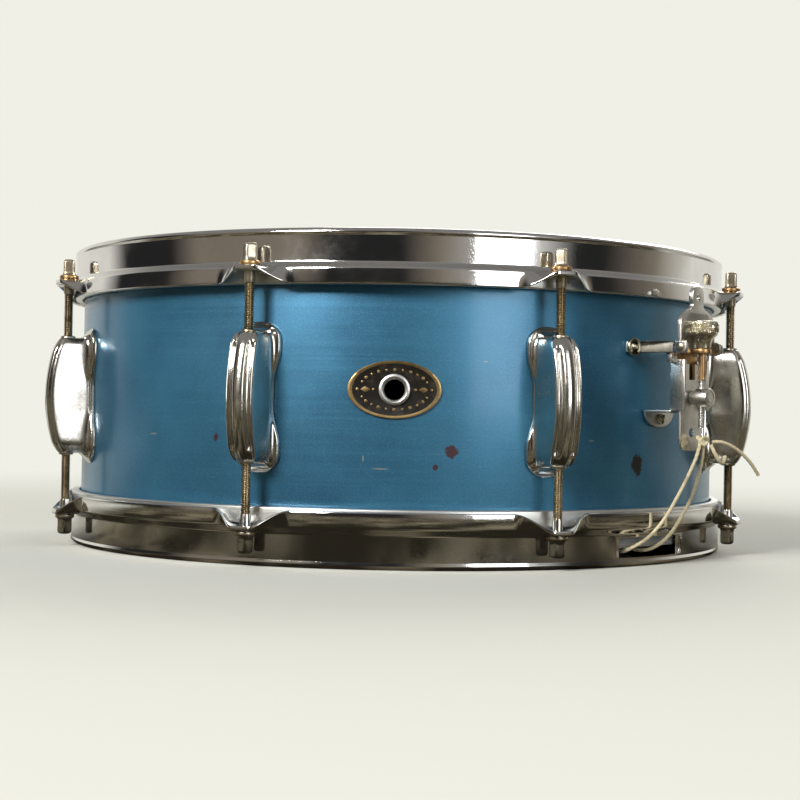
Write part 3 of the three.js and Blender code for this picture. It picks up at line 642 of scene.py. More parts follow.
GOLD = tarnished("badge_gold", (0.50, 0.36, 0.17), (0.26, 0.17, 0.08), 0.36, 500)
ENAMEL = enamel()
STEEL = tarnished("bright_wire", (0.74, 0.74, 0.73), (0.52, 0.51, 0.48), 0.25)
COTTON = cotton()
# Near-black look for screw slots: painted shade standing in for the shadow inside a slot's groove.
SLOT_PAINTED_SHADE = Look("slot_painted_shade", (0.015, 0.013, 0.012), 0.7).material


def settle(piece, body, slot, *nodes):
    """Hangs a piece on its body and hides the CAD nodes it stands for; the slot argument is not used."""
    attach(piece, body)
    if nodes:
        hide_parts(*nodes)


# ---- cords ------------------------------------------------------------------------------------

CORD_LOOK = {"lobes": 3, "lobe_depth": 0.2, "twist": 2.3}


def cord_points(route):
    return np.array([polar(*point) for point in route])


def cord_piece(name, points):
    """A laid cord along a smooth line through the points, and that line."""
    line = spline(points, 14)
    verts, faces = tube(line, CORD_R, 18, **CORD_LOOK)
    return mesh_piece(name, verts, faces, COTTON, sharp=70), line


# Routes as (azimuth, radius, height).
STRAND_OUTER = [(45.8, 204.2, 60.4), (45.5, 202.4, 53), (44.2, 195.0, 34), (42.6, 189.5, 21),
                (40.6, 185.6, 13.4), (38.6, 182.4, 9.4), (38.0, 177.8, 7.2), (38.4, 171.0, 6.9)]
STRAND_INNER = [(46.6, 204.4, 60.4), (47.0, 202.8, 53), (47.8, 196.5, 36), (47.2, 191.4, 24.5),
                (45.8, 186.9, 14.6), (44.6, 182.6, 9.6), (43.8, 177.8, 7.2), (43.4, 171.0, 6.9)]
TAIL_LONG = [(47.8, 206.8, 61.6), (49.0, 209.2, 61.6), (51.4, 212.6, 58.4), (53.9, 215.6, 52.4),
             (56.0, 217.6, 45.2)]
TAIL_SHORT = [(46.6, 208.5, 60.4), (46.9, 210.0, 56.4), (47.8, 210.8, 52.4), (49.0, 210.2, 51.2),
              (50.2, 209.2, 54.4)]


def build_cords():
    for name, route in (("cord_strand_outer", STRAND_OUTER), ("cord_strand_inner", STRAND_INNER)):
        piece, _ = cord_piece(name + "_rope", cord_points(route))
        settle(piece, "cord_carriage", "cotton_cord", name)
    tail, line = cord_piece("cord_tail_long_rope", cord_points(TAIL_LONG))
    settle(tail, "cord_carriage", "cotton_cord", "cord_tail_long")
    stub, _ = cord_piece("cord_tail_short_rope", cord_points(TAIL_SHORT))
    settle(stub, "cord_carriage", "cotton_cord", "cord_tail_short")
    build_knot()


KNOT_AZ = 46.5


def build_knot():
    """An overhand knot, drawn as two turns wound round the strands in front of the plate."""
    centre = polar(KNOT_AZ, 204.2, 62)
    turns = []
    for step in range(73):
        angle = 2 * math.pi * 2 * step / 72
        wide = 2.3 + 0.5 * math.cos(3 * angle / 2)
        turns.append((wide * math.cos(angle), wide * 0.85 * math.sin(angle), 1.9 * math.cos(1.5 * angle)))
    local = np.array(turns)
    spin = np.array(turned_by(STRAINER_AZ))[:3, :3]
    verts, faces = tube(centre + local @ spin.T, 1.0, 16, **CORD_LOOK)
    piece = mesh_piece("cord_knot_turns", verts, faces, COTTON, sharp=70)
    settle(piece, "cord_carriage", "cotton_cord", "cord_knot")


build_cords()


# ---- shell, rings and heads -------------------------------------------------------------------

ROUND = 288


def radial_cylinder(name, radius, r0, r1, z, azimuth):
    """A cutter along the radial direction."""
    outline = superellipse(radius, radius, 2, 32) + (0, z)
    shape = Shape()
    shape.plate(outline, r0, r1, edge=0.01, matrix=UPRIGHT)
    return shape.piece(name, [], azimuth)


def build_shell():
    inner = SHELL_R - SHELL_WALL
    low, high = RIM_STAND, TOTAL_H - RIM_STAND
    profile = rounded([
        (inner, low + BEVEL), (SHELL_R - 1.2, low), (SHELL_R, low + 1.2),
        (SHELL_R, high - 1.2), (SHELL_R - 1.2, high), (inner, high - BEVEL),
    ], [0.5, 0.4, 0.8, 0.8, 0.4, 0.5], 2)
    shape = Shape()
    shape.turned(profile, ROUND, True)
    shell = shape.piece("shell_wall", [LACQUER, MAPLE])
    carve(shell, radial_cylinder("vent_cut", VENT_R, 165, 185, BADGE_Z, BADGE_AZ))
    shell.data.set_sharp_from_angle(angle=math.radians(30))
    outside = (SHELL_R - 0.6) * MM
    for face in shell.data.polygons:
        radius = math.hypot(face.center.x, face.center.y)
        face.material_index = 0 if radius > outside and abs(face.normal.z) < 0.5 else 1
    settle(shell, "drum", "lacquered_shell", "shell")


def turned_piece(name, profile, look, flip, segments=ROUND, closed=True):
    """A piece drawn for the bottom of the drum and turned about its axis. flip puts it at the top."""
    if flip:
        profile[:, 1] = TOTAL_H - profile[:, 1]
    shape = Shape()
    shape.turned(profile, segments, closed)
    return shape.piece(name, look)


def build_rings():
    outer = SHELL_R - SHELL_WALL - GAP
    inner = outer - RING_WALL
    for side, flip in (("batter", True), ("snare", False)):
        points = [(inner, RIM_STAND + BEVEL + 5), (outer, RIM_STAND + BEVEL),
                  (outer, RIM_STAND + RING_H), (inner, RIM_STAND + RING_H - 4)]
        ring = turned_piece(side + "_ring", rounded(points, [1, 0.3, 0.5, 2], 2), MAPLE, flip)
        settle(ring, "drum", "maple", side + "_reinforcement_ring")


def build_heads():
    """Skins with their collars over the bearing edges, and the metal rings that hold them."""
    under = RIM_STAND - GAP
    over = under - FILM
    outer = SHELL_R + GAP + FILM
    hem = SKIRT_END - 1
    collar = rounded([(outer, over), (outer, hem), (outer - FILM, hem), (outer - FILM, under)],
                     [1.6, 0.1, 0.1, 1.2], 5)
    for side, flip, look, slot in (
        ("batter", True, COATED, "coated_film"),
        ("snare", False, CLEAR, "clear_film"),
    ):
        across = [(r, over) for r in (0.0, 60.0, 120.0, 165.0)]
        back = [(r, under) for r in (165.0, 120.0, 60.0, 0.0)]
        skin_profile = np.vstack([across, collar, back])
        head = turned_piece(side + "_head_skin", skin_profile, look, flip, 192, False)
        settle(head, "drum", slot, side + "_head_film")
        end = SKIRT_END - 0.4 if flip else SKIRT_END + 1.3
        inner = outer + GAP
        section = [(inner, FLESH_SEAT), (HOOP_WALL_R, FLESH_SEAT), (HOOP_WALL_R, end), (inner, end)]
        section = rounded(section, [0.4, 1.0, 1.0, 0.4], 3)
        ring = turned_piece(side + "_flesh_hoop_ring", section, ALUMINIUM, flip)
        settle(ring, "drum", "aluminium", side + "_flesh_hoop")


build_shell()
build_rings()
build_heads()


# ---- hoops ------------------------------------------------------------------------------------

EAR_FLAT = 4.5
EAR_SWOOP = 21.0
EAR_SWOOP_POWER = 0.72
EAR_R = 196.7
EAR_HOLE_R = 3.2
GATE_HALF_ANGLE = 8.4
GATE_H = 9.9
GATE_Z = 9.45
HOOP_RADII = [0.5, 1.7, 1.9, 1.4, 1.6, 1.5, 1.7, 0.8, 0.6, 2.0, 1.2, 1.0]


def hoop_section(weight, seat):
    """The hoop's section at a place: weight 0 is between the ears and 1 is in an ear's middle."""
    between = np.array([
        (176.6, 2.2), (178.4, 0.0), (181.2, 0.0), (183.3, 1.5), (HOOP_WALL_R, 3.5), (HOOP_WALL_R, 16.2),
        (186.3, 18.9), (186.4, SKIRT_END), (184.6, SKIRT_END), (184.5, 20.2), (181.0, 17.2), (181.0, 3.2),
    ])
    at_ear = between.copy()
    at_ear[6] = (185.1, seat)
    at_ear[7] = (EAR_R, seat)
    at_ear[8] = (EAR_R, seat + 2.5)
    at_ear[9] = (186.5, seat + 2.2)
    flare = weight ** 0.75
    section = between.copy()
    section[:, 0] += (at_ear[:, 0] - between[:, 0]) * flare
    section[:, 1] += (at_ear[:, 1] - between[:, 1]) * weight
    return rounded(section, HOOP_RADII, 4)


def hoop_stations():
    """(azimuth, weight) around the drum, close together at the ears."""
    half_pitch = math.pi * ROD_CIRCLE_R / LUG_COUNT
    near = EAR_SWOOP * np.linspace(0, 1, 26) ** 1.2
    far = np.linspace(EAR_SWOOP, half_pitch, 12)[1:]
    offsets = np.concatenate([near, far])
    both = np.concatenate([-offsets[:0:-1], offsets[:-1]])
    stations = []
    for azimuth in LUG_AZIMUTHS:
        for offset in both:
            along = np.clip((abs(offset) - EAR_FLAT) / (EAR_SWOOP - EAR_FLAT), 0, 1)
            weight = (1 + math.cos(math.pi * along ** EAR_SWOOP_POWER)) / 2
            stations.append((azimuth + math.degrees(offset / ROD_CIRCLE_R), weight))
    return stations


def gate_cutter(azimuth):
    """The window through the bottom hoop's wall for the snare cord."""
    half = 181 * math.tan(math.radians(GATE_HALF_ANGLE))
    outline = rounded_rectangle(2 * half, GATE_H, 2.4, 0, GATE_Z, 6)
    shape = Shape()
    shape.plate(outline, 179.5, 184.6, edge=0.01, matrix=UPRIGHT)
    return shape.piece("gate_cut", [], azimuth)


def ear_cutter(z, azimuth):
    outline = superellipse(EAR_HOLE_R, EAR_HOLE_R, 2, 24) + (0, -ROD_CIRCLE_R)
    shape = Shape()
    shape.plate(outline, z - 6, z + 6, edge=0.01)
    return shape.piece("ear_cut", [], azimuth)


def build_hoop(name, node, flip, seat):
    sections = []
    for azimuth, weight in hoop_stations():
        section = hoop_section(weight, seat)
        heights = TOTAL_H - section[:, 1] if flip else section[:, 1]
        right, back = polar(azimuth, 1.0, 0)[:2]
        sections.append(np.column_stack([section[:, 0] * right, section[:, 0] * back, heights]))
    verts = np.concatenate(sections)
    faces = grid_faces(len(sections), len(sections[0]), wrap_rows=True, wrap_columns=True)
    hoop = mesh_piece(name, verts, faces, CHROME, sharp=50)
    level = TOTAL_H - seat - 1 if flip else seat + 1
    cutters = [ear_cutter(level, azimuth) for azimuth in LUG_AZIMUTHS]
    if not flip:
        cutters += [gate_cutter(SNARE_AZ), gate_cutter(BUTT_AZ)]
    carve(hoop, *cutters)
    hoop.data.shade_smooth()
    hoop.data.set_sharp_from_angle(angle=math.radians(50))
    settle(hoop, "drum", "hoop_chrome", node)


build_hoop("batter_hoop_rim", "batter_hoop", True, TOP_EAR_SEAT)
build_hoop("snare_hoop_rim", "snare_hoop", False, BOTTOM_EAR_SEAT)


# ---- lugs -------------------------------------------------------------------------------------

LUG_HALF_H = 35.7
BARREL_HALF_H = 30.3
BARREL_SHOULDER = 23.5
BARREL_HALF_W = 7.0
CAP_R = 194.3
CAP_HALF_W = 4.4
LUG_CORNER = 9
LUG_BACK = SHELL_R + 0.25


def lug_bow(z):
    """The barrel's front, furthest out at the middle."""
    return 202.2 - 0.0063 * z * z


def lug_half_section(z, capped):
    """(t, r) from the base's edge to the middle of the front, at a height from the lug's middle."""
    height = abs(z)
    q = min(max((height - BARREL_SHOULDER) / (BARREL_HALF_H - BARREL_SHOULDER), 0), 1)
    shrink = math.sqrt(1 - q * q)
    front = CAP_R + (lug_bow(height) - CAP_R) * shrink
    wide = CAP_HALF_W + (BARREL_HALF_W - CAP_HALF_W) * shrink
    flare = 7.5 + 3.5 * float(smooth_step((height - 5.5) / 17))
    past = (height - (LUG_HALF_H - LUG_CORNER)) / LUG_CORNER
    if past > 0:
        flare = flare - LUG_CORNER + LUG_CORNER * math.sqrt(max(1 - past ** 2, 0))
    flare = max(flare, 1.6)
    wide = min(wide, flare - 0.1)
    lip = flare - wide
    base = LUG_BACK
    groove = float(smooth_step((26.0 - height) / 2.6))
    points = [
        (flare, base), (flare - 0.05, base + 1.0), (flare - 0.5, base + 1.9),
        (wide + 0.45 * lip, base + 2.5), (wide + 0.16 * lip, base + 3.9), (wide + 0.03 * lip, base + 6.6),
        (wide, front - 6.0), (wide - 0.03, front - 3.7), (wide * 0.975, front - 2.6),
        (wide * 0.91, front - 1.95), (wide * 0.84, front - 2.0 - 0.45 * groove),
        (wide * 0.77, front - 2.15 - 1.15 * groove), (wide * 0.62, front - 1.85 - 1.55 * groove),
        (wide * 0.48, front - 1.3 - 1.1 * groove), (wide * 0.41, front - 0.98 - 0.15 * groove),
        (wide * 0.33, front - 0.6), (wide * 0.17, front - 0.2), (0, front),
    ]
    if capped:
        top = base + 1.7 + 3.4 * (1 - float(smooth_step((height - BARREL_HALF_H) / 3.4)))
        top -= 1.7 * float(smooth_step((height - 33.6) / 2.1))
        points = [(t, min(r, top)) for t, r in points]
    return points


def lug_mesh():
    mid = np.linspace(0, BARREL_SHOULDER, 17)
    rise = np.sin(np.linspace(0, math.pi / 2, 9))[1:]
    shoulder = BARREL_SHOULDER + (BARREL_HALF_H - BARREL_SHOULDER) * rise
    lip = np.linspace(BARREL_HALF_H, LUG_HALF_H, 10)
    levels = [(z, False) for z in mid] + [(z, False) for z in shoulder] + [(z, True) for z in lip]
    levels = [(-z, capped) for z, capped in levels[:0:-1]] + levels
    sections = []
    for z, capped in levels:
        half = spline(lug_half_section(z, capped), 3)
        section = np.vstack([half, (half * (-1, 1))[-2::-1]])
        back = np.linspace(-half[0, 0], half[0, 0], 7)[1:-1]
        section = np.vstack([section, np.column_stack([back, np.full(5, LUG_BACK)])])
        fall = np.sqrt(SHELL_R ** 2 - section[:, 0] ** 2) - SHELL_R
        near_shell = np.clip((LUG_BACK + 8 - section[:, 1]) / 8, 0, 1)
        radius = section[:, 1] + fall * near_shell
        sections.append(np.column_stack([section[:, 0], -radius, np.full(len(section), MID_H + z)]))
    return loft(sections)


def build_lugs():
    verts, faces = lug_mesh()
    for index, azimuth in enumerate(LUG_AZIMUTHS):
        lug = mesh_piece(f"lug_casting_{index + 1}", verts, faces, LUG_CHROME, azimuth, sharp=55)
        settle(lug, "drum", "lug_chrome", f"lug_{index + 1}")
    collars = Shape()
    ring = rounded([(2.75, 0), (3.9, 0), (3.6, 1.15), (2.75, 1.15)], [0.1, 0.1, 0.5, 0.2], 3)
    screws = Shape()
    dome = [(0, 2.6), (2.4, 2.3), (4.0, 1.2), (4.3, 0), (0, 0)]
    washer = rounded([(0.2, 0), (8, 0), (8, 1.2), (0.2, 1.2)], [0.1, 0.3, 0.3, 0.1], 2)
    for azimuth in LUG_AZIMUTHS:
        for side in (-1, 1):
            verts, faces = lathe(ring, 32, closed=True)
            verts[:, 2] = MID_H + side * (BARREL_HALF_H - 0.1 + verts[:, 2])
            collars.add(verts, faces, matrix=turned_by(azimuth) @ moved(0, ROD_CIRCLE_R))
            lies = Matrix.Rotation(math.radians(-90), 4, "X")
            for profile, closed, seat in ((washer, True, 172.7), (dome, False, 171.4)):
                verts, faces = lathe(profile, 24, closed=closed)
                spot = moved(0, seat, MID_H + side * 22)
                screws.add(verts, faces, matrix=turned_by(azimuth) @ spot @ lies)
    settle(collars.piece("lug_collars", NICKEL), "drum", "worn_nickel")
    settle(screws.piece("lug_inner_screws", NICKEL), "drum", "worn_nickel")


build_lugs()


# ---- tension rods -----------------------------------------------------------------------------

ROD_PITCH = 1.058
ROD_R = 2.5
HEAD_HALF = 2.9
HEAD_H = 8.3
COLLAR_H = 2.0


def threaded(length, radius, depth, sides, per_turn, pitch):
    """A threaded bar from z = 0 up to length."""
    count = int(length / pitch * per_turn) + 1
    heights = np.linspace(0, length, count)
    angles = np.linspace(0, 2 * math.pi, sides, endpoint=False)
    sections = []
    for height in heights:
        phase = (height / pitch - angles / (2 * math.pi)) % 1.0
        reach = radius - depth * np.abs(2 * phase - 1) ** 0.8
        across = [reach * np.cos(angles), reach * np.sin(angles)]
        sections.append(np.column_stack([*across, np.full(sides, height)]))
    return loft(sections)


def rod_shape(seat):
    """A tension rod pointing up into its lug, its head below the ear's seat."""
    shape = Shape()
    seat = seat - GAP
    collar = [(0.2, -COLLAR_H), (4.2, -COLLAR_H), (5.0, -1.5), (5.0, 0), (0.2, 0)]
    shape.turned(rounded(collar, [0.1, 0.5, 0.4, 0.3, 0.1], 3), 40, True, slot=1, matrix=moved(z=seat))
    head = []
    low, high = seat - COLLAR_H - HEAD_H, seat - 1.9
    for height, half, power in (
        (low, 1.7, 3.0), (low + 0.12, 2.15, 3.4), (low + 0.45, 2.6, 4.2), (low + 0.9, 2.82, 5.5),
        (low + 1.6, HEAD_HALF, 7.0), (high - 2.2, HEAD_HALF, 7.0), (high - 1.2, 3.0, 5.0),
        (high - 0.6, 3.4, 3.0), (high, 3.9, 2.2),
    ):
        outline = superellipse(half, half, power, 40)
        head.append(np.column_stack([outline, np.full(40, height)]))
    shape.add(*loft(head))
    neck = [(0, -0.5), (3.15, -0.5), (3.15, 1.0), (2.75, 2.0), (2.7, 7.0), (2.45, 8.2), (0, 8.2)]
    shape.turned(neck, 28, matrix=moved(z=seat))
    shape.add(*threaded(34, ROD_R, 0.6, 24, 8, ROD_PITCH), 2, matrix=moved(z=seat + 8))
    return shape


def build_rods():
    for end, flip, seat in (("bottom", False, BOTTOM_EAR_SEAT), ("top", True, TOP_EAR_SEAT)):
        shape = rod_shape(seat)
        verts = np.array(shape.verts)
        if flip:
            verts = verts * (1, -1, -1) + (0, 0, TOTAL_H)
        for index, azimuth in enumerate(LUG_AZIMUTHS):
            turn = math.radians(ROD_TURNS[(index * 3 + flip) % len(ROD_TURNS)])
            spun = np.array(verts)
            spun[:, 0] = verts[:, 0] * math.cos(turn) - verts[:, 1] * math.sin(turn)
            spun[:, 1] = verts[:, 0] * math.sin(turn) + verts[:, 1] * math.cos(turn) - ROD_CIRCLE_R
            shape.verts = spun.tolist()
            looks = [NICKEL if flip else LUG_CHROME, BRASS if flip else NICKEL, BRONZE]
            rod = shape.piece(f"{end}_rod_{index + 1}_shape", looks, azimuth, sharp=40)
            settle(rod, f"{end}_rod_{index + 1}", "worn_nickel", f"{end}_tension_rod_{index + 1}")


# How far each square head happens to be turned when the drum is in tune, in degrees.
ROD_TURNS = [8, 52, 31, 74, 15, 66, 40, 23]
build_rods()


# ---- badge and vent ---------------------------------------------------------------------------

def on_badge(t, z, lift):
    """A point of the badge, which follows the shell's curve."""
    radius = SHELL_R + GAP + lift
    angle = t / radius
    return (radius * math.sin(angle), -radius * math.cos(angle), BADGE_Z + z)


def badge_stud(shape, t, z, half_t, half_z, lift, slot, sides=12, power=2.0):
    """A low raised dot or lozenge on the badge."""
    rings = [(1.0, -0.15), (0.85, lift * 0.7), (0.45, lift)]
    verts = []
    for scale, height in rings:
        for x, y in superellipse(half_t * scale, half_z * scale, power, sides):
            verts.append(on_badge(t + x, z + y, 0.6 + height))
    verts.append(on_badge(t, z, 0.6 + lift * 1.05))
    faces = grid_faces(len(rings), sides, wrap_columns=True)
    last = (len(rings) - 1) * sides
    faces += [(last + j, last + (j + 1) % sides, len(verts) - 1) for j in range(sides)]
    faces.append(tuple(reversed(range(sides))))
    shape.add(verts, faces, slot)


def build_badge():
    """A black oval with a gold border and an ornament of dots and two lozenges."""
    shape = Shape()
    rings = [(0.0, 0.0), (0.0, 0.5), (0.12, 0.62), (0.9, 0.66), (0.935, 0.86), (0.985, 0.86), (1.0, 0.7),
             (1.0, 0.0)]
    sides = 160
    verts = []
    for share, lift in rings:
        for k in range(sides):
            angle = 2 * math.pi * k / sides
            inner = np.array([VENT_R * math.cos(angle), VENT_R * math.sin(angle)])
            outer = np.array([BADGE_W / 2 * math.cos(angle), BADGE_H / 2 * math.sin(angle)])
            if share > 0.8:
                t, z = outer * share
            else:
                t, z = inner + (outer * 0.9 - inner) * share / 0.9
            verts.append(on_badge(t, z, lift))
    faces = grid_faces(len(rings), sides, wrap_rows=True, wrap_columns=True)
    for row in range(len(rings)):
        slot = 1 if row in (3, 4, 5, 6) else 0
        shape.add(verts, [faces[row * sides + k] for k in range(sides)], slot)
    for side in (-1, 1):
        badge_stud(shape, side * 13.6, 0, 2.6, 1.5, 0.22, 1, 16, 1.1)
        badge_stud(shape, side * 9.9, 0, 0.75, 0.75, 0.2, 1)
        badge_stud(shape, side * 17.4, 0, 0.75, 0.75, 0.2, 1)
        for k in range(-5, 6):
            angle = math.radians(90 * side + 13.5 * k)
            dot = 0.62 if k % 2 else 0.9
            badge_stud(shape, 16.4 * math.cos(angle), 9.3 * math.sin(angle), dot, dot, 0.2, 1)
    piece = shape.piece("badge_oval", [ENAMEL, GOLD], BADGE_AZ, sharp=30)
    settle(piece, "drum", "badge_enamel", "badge_plate")


def build_vent():
    outer = SHELL_R + GAP + 0.6 + GAP
    inner = SHELL_R - SHELL_WALL - 1.4
    profile = rounded([
        (4.9, inner - 0.7), (7.1, inner - 0.7), (7.1, inner), (5.7, inner + 0.3), (5.7, outer - 0.1),
        (7.6, outer - 0.1), (7.3, outer + 0.75), (6.0, outer + 1.15), (4.9, outer + 0.2),
    ], [0.3, 0.3, 0.2, 0.3, 0.2, 0.3, 0.5, 0.7, 0.6], 3)
    shape = Shape()
    shape.turned(profile, 64, True, matrix=facing_out(0, 0, 0, BADGE_Z))
    settle(shape.piece("vent_eyelet", ALUMINIUM, BADGE_AZ), "drum", "aluminium", "vent_grommet")


build_badge()
build_vent()


# ---- strainer ---------------------------------------------------------------------------------

CHANNEL_HALF = 11.5
LIP_HALF = 9.2
CHANNEL_FRONT = 201.2
CHANNEL_BACK = 193.0
CHANNEL_LOW = 77.0
CHANNEL_TOP = 102.0
STRAP_Z = 107.8
STRAP_HALF = 16.9
STRAP_HALF_H = 2.7
STRAP_END = 205.6
SCREW_AZ = 7.0
PLATE = 1.2
TAB_HALF = 12.9
LOWER_SCREW_Z = 72.4
NUT_Z = 83.3
CORD_HOLE_Z = 66
KNOB_SCREW_PITCH = 0.794
SCREW_HEAD_H = 2.2
SHANK_R = 1.3
SHANK_LENGTH = 9.0


def channel_outline(side):
    """Half of the U-shaped channel in the (t, -r) plane: a side wall with a lip that holds the slide in."""
    half, front, back = CHANNEL_HALF, CHANNEL_FRONT, CHANNEL_BACK
    points = [(half, -back), (half, -front), (LIP_HALF, -front), (LIP_HALF, -front + 1.6),
              (half - PLATE, -front + 1.6), (half - PLATE, -back)]
    outline = rounded(points, [0.5, 1.3, 0.5, 0.4, 0.3, 0.5], 5)
    return outline * (side, 1)


def strap_outline(side):
    """The bent strip from a foot on the shell out to the lever's pivot, in the (t, -r) plane."""
    def foot(angle, radius):
        return (side * radius * math.sin(math.radians(angle)), -radius * math.cos(math.radians(angle)))
    points = [
        foot(8.3, SHELL_R + GAP), foot(8.3, SHELL_R + GAP + PLATE), foot(5.9, SHELL_R + GAP + PLATE + 0.3),
        (side * STRAP_HALF, -196.0), (side * STRAP_HALF, -201.0),
        (side * (STRAP_HALF - PLATE), -201.0), (side * (STRAP_HALF - PLATE), -195.6),
        foot(5.4, SHELL_R + GAP),
    ]
    return rounded(points, [0.3, 0.3, 2.0, 3.0, 0.3, 0.3, 3.0, 2.0], 5)


def build_strainer_frame():
    shape = Shape()
    for side in (-1, 1):
        shape.plate(channel_outline(side), CHANNEL_LOW, CHANNEL_TOP, 0.3)
        # The straps take the paler nickel copy in slot 1, whose paler colour is painted light.
        shape.plate(strap_outline(side), STRAP_Z - STRAP_HALF_H, STRAP_Z + STRAP_HALF_H, 0.3, slot=1)
        t = side * (STRAP_HALF - PLATE / 2)
        ear = rounded([(-STRAP_END, STRAP_Z - 2.7), (-197.6, STRAP_Z - 3.4), (-197.6, STRAP_Z + 2.7),
                       (-STRAP_END, STRAP_Z + 2.7)], [2.6, 1.2, 0.4, 2.6], 6)
        shape.plate(ear, -PLATE / 2, PLATE / 2, 0.25, matrix=moved(t=t) @ SIDEWAYS)
        near, far = side * 10.8, side * 16.2
        link = [(near, -193.5), (far, -193.5), (far, -196.6), (near, -196.6)]
        link = rounded(link, [0.3, 0.8, 0.8, 0.3], 3)
        shape.plate(link, CHANNEL_TOP - 1.5, STRAP_Z - 2, 0.3)
    shelf = rounded([(-TAB_HALF, -194.4), (TAB_HALF, -194.4), (TAB_HALF, -178.8), (-TAB_HALF, -178.8)],
                    [0.8, 0.8, 0.6, 0.6], 3)
    shape.plate(shelf, CHANNEL_LOW - 1.4, CHANNEL_LOW - 0.05, 0.3)
    lobe = [(TAB_HALF, 76.6), (11.9, 73.2), (8.9, 70.4), (4.7, 68.8)]
    outline = spline([(-t, z) for t, z in lobe] + [(0, 68.4)] + lobe[::-1], 4)
    shape.plate(outline, SHELL_R + 0.6, SHELL_R + 2.0, 0.4, matrix=UPRIGHT)
    piece = shape.piece("strainer_channel", [STRAINER_CHROME, STRAP_NICKEL_PAINTED_LIGHT], STRAINER_AZ, sharp=40)
    settle(piece, "drum", "strainer_chrome", "strainer_frame")


def screw_piece(node, head, matrix, sides, slot_width=0.0, slot_turn=0.0):
    """A screw with its shank, pointing outwards, from its head's profile; where it has a slot, a near-black
    bar across the head stands in for the groove as painted shade.
    """
    shank = [(SHANK_R, -0.15), (SHANK_R, -SHANK_LENGTH), (0, -SHANK_LENGTH)]
    shape = Shape()
    shape.turned(spline(head[:-1], 4).tolist() + [head[-1]] + shank, sides, matrix=matrix)
    if slot_width:
        # The slot is no cut groove but a near-black bar across the head: painted shade.
        bar = rounded_rectangle(slot_width, 0.75, 0.1)
        turned = matrix @ Matrix.Rotation(slot_turn, 4, "Z")
        shape.plate(bar, SCREW_HEAD_H * 0.72, SCREW_HEAD_H * 1.005, 0.02, slot=1, matrix=turned)
    settle(shape.piece(node + "_head", [PALE_NICKEL, SLOT_PAINTED_SHADE], sharp=50), "drum", "worn_nickel", node)


def build_strap_screws():
    """Wide thin heads with a raised rim and a boss in the middle."""
    head = [(0, 2.1), (1.3, 2.0), (1.95, 1.5), (2.2, 0.95), (3.2, 0.75), (3.9, 0.95), (4.35, 0.8), (4.6, 0.3),
            (4.5, -0.15)]
    face = SHELL_R + GAP + PLATE + 0.4 + GAP
    for node, side in (("strainer_screw_left", -1), ("strainer_screw_right", 1)):
        screw_piece(node, head, facing_out(STRAINER_AZ + side * SCREW_AZ, 0, face, STRAP_Z), 40)


def build_slotted_screws():
    for node, azimuth, t, r, z, radius, turn in (
        ("strainer_screw_lower", STRAINER_AZ, 0, SHELL_R + 2.3, LOWER_SCREW_Z, 2.7, 1.3),
        ("butt_screw_left", BUTT_AZ, -14.0, BUTT_FACE + 5.2, BUTT_Z, 3.25, 0.4),
        ("butt_screw_right", BUTT_AZ, 14.0, BUTT_FACE + 5.2, BUTT_Z, 3.25, 1.8),
    ):
        dome = [(0, 1), (0.35, 0.97), (0.7, 0.76), (0.93, 0.38), (1, 0)]
        head = [(radius * across, SCREW_HEAD_H * up) for across, up in dome] + [(radius, -0.15)]
        screw_piece(node, head, facing_out(azimuth, t, r, z), 36, radius * 1.7, turn)


def build_bracket():
    """The tongue that the knob's screw hangs in, and its tab behind the carriage."""
    shape = Shape()
    nose = [(4.5 * math.cos(a), -KNOB_R_AXIS - 4.5 * math.sin(a)) for a in np.linspace(0, math.pi, 17)]
    outline = [(8.5, -194.6), (8.5, -197.4), (7.9, -198.3), (5.4, -198.9), (4.5, -199.8), *nose,
               (-4.5, -199.8), (-5.4, -198.9), (-7.9, -198.3), (-8.5, -197.4), (-8.5, -194.6)]
    shape.plate(outline, 104.8, 107.3, 0.45, 3)
    tab = rounded_rectangle(17, 18.0, 1.0, 0, 97.0)
    shape.plate(tab, 194.6, 196.0, 0.3, matrix=UPRIGHT)
    piece = shape.piece("bracket_tongue", BRASS, STRAINER_AZ, sharp=40)
    settle(piece, "screw_bracket", "worn_brass", "screw_bracket")


def knurl(radius, low, high, depth, starts, sides):
    """A band with a diamond pattern cut in it, closed at both ends."""
    rows = 30
    angles = np.linspace(0, 2 * math.pi, sides, endpoint=False)
    sections = []
    for row in range(rows + 1):
        height = low + (high - low) * row / rows
        run = height / radius
        one = np.abs(2 * ((starts * (angles + run) / (2 * math.pi)) % 1) - 1)
        two = np.abs(2 * ((starts * (angles - run) / (2 * math.pi)) % 1) - 1)
        edge = min(1.0, 4 * min(row, rows - row) / rows)
        reach = radius - depth * (1 - edge * np.minimum(one, two) ** 0.8)
        across = [reach * np.cos(angles), reach * np.sin(angles)]
        sections.append(np.column_stack([*across, np.full(sides, height)]))
    return loft(sections)


def build_knob():
    shape = Shape()
    verts, faces = knurl(8.1, 114.5, 120.3, 1.0, 34, 408)
    shape.add(verts, faces, 0, moved(r=KNOB_R_AXIS))
    cap = [(0, 121.25), (3.5, 121.2), (6.2, 120.95), (7.3, 120.6), (7.5, 120.0), (0, 120.0)]
    neck = [(0, 115.2), (7.5, 115.2), (7.4, 114.5), (6.9, 113.7), (5.4, 112.4), (4.6, 111.2), (4.3, 109.2),
            (4.2, 107.7), (0, 107.7)]
    for profile in (cap, neck):
        shape.turned(profile, 64, matrix=moved(r=KNOB_R_AXIS))
    bar = [(0, 108.0), (1.75, 108.0), (1.75, 92.0), (0, 92.0)]
    shape.turned(bar, 24, slot=1, matrix=moved(r=KNOB_R_AXIS))
    shape.add(*threaded(24.2, 1.8, 0.36, 20, 8, KNOB_SCREW_PITCH), 2, moved(r=KNOB_R_AXIS, z=68.4))
    piece = shape.piece("knob_and_screw", [PALE_NICKEL, BRASS, STEEL], STRAINER_AZ, sharp=45)
    settle(piece, "tension_knob", "worn_nickel", "tension_knob")


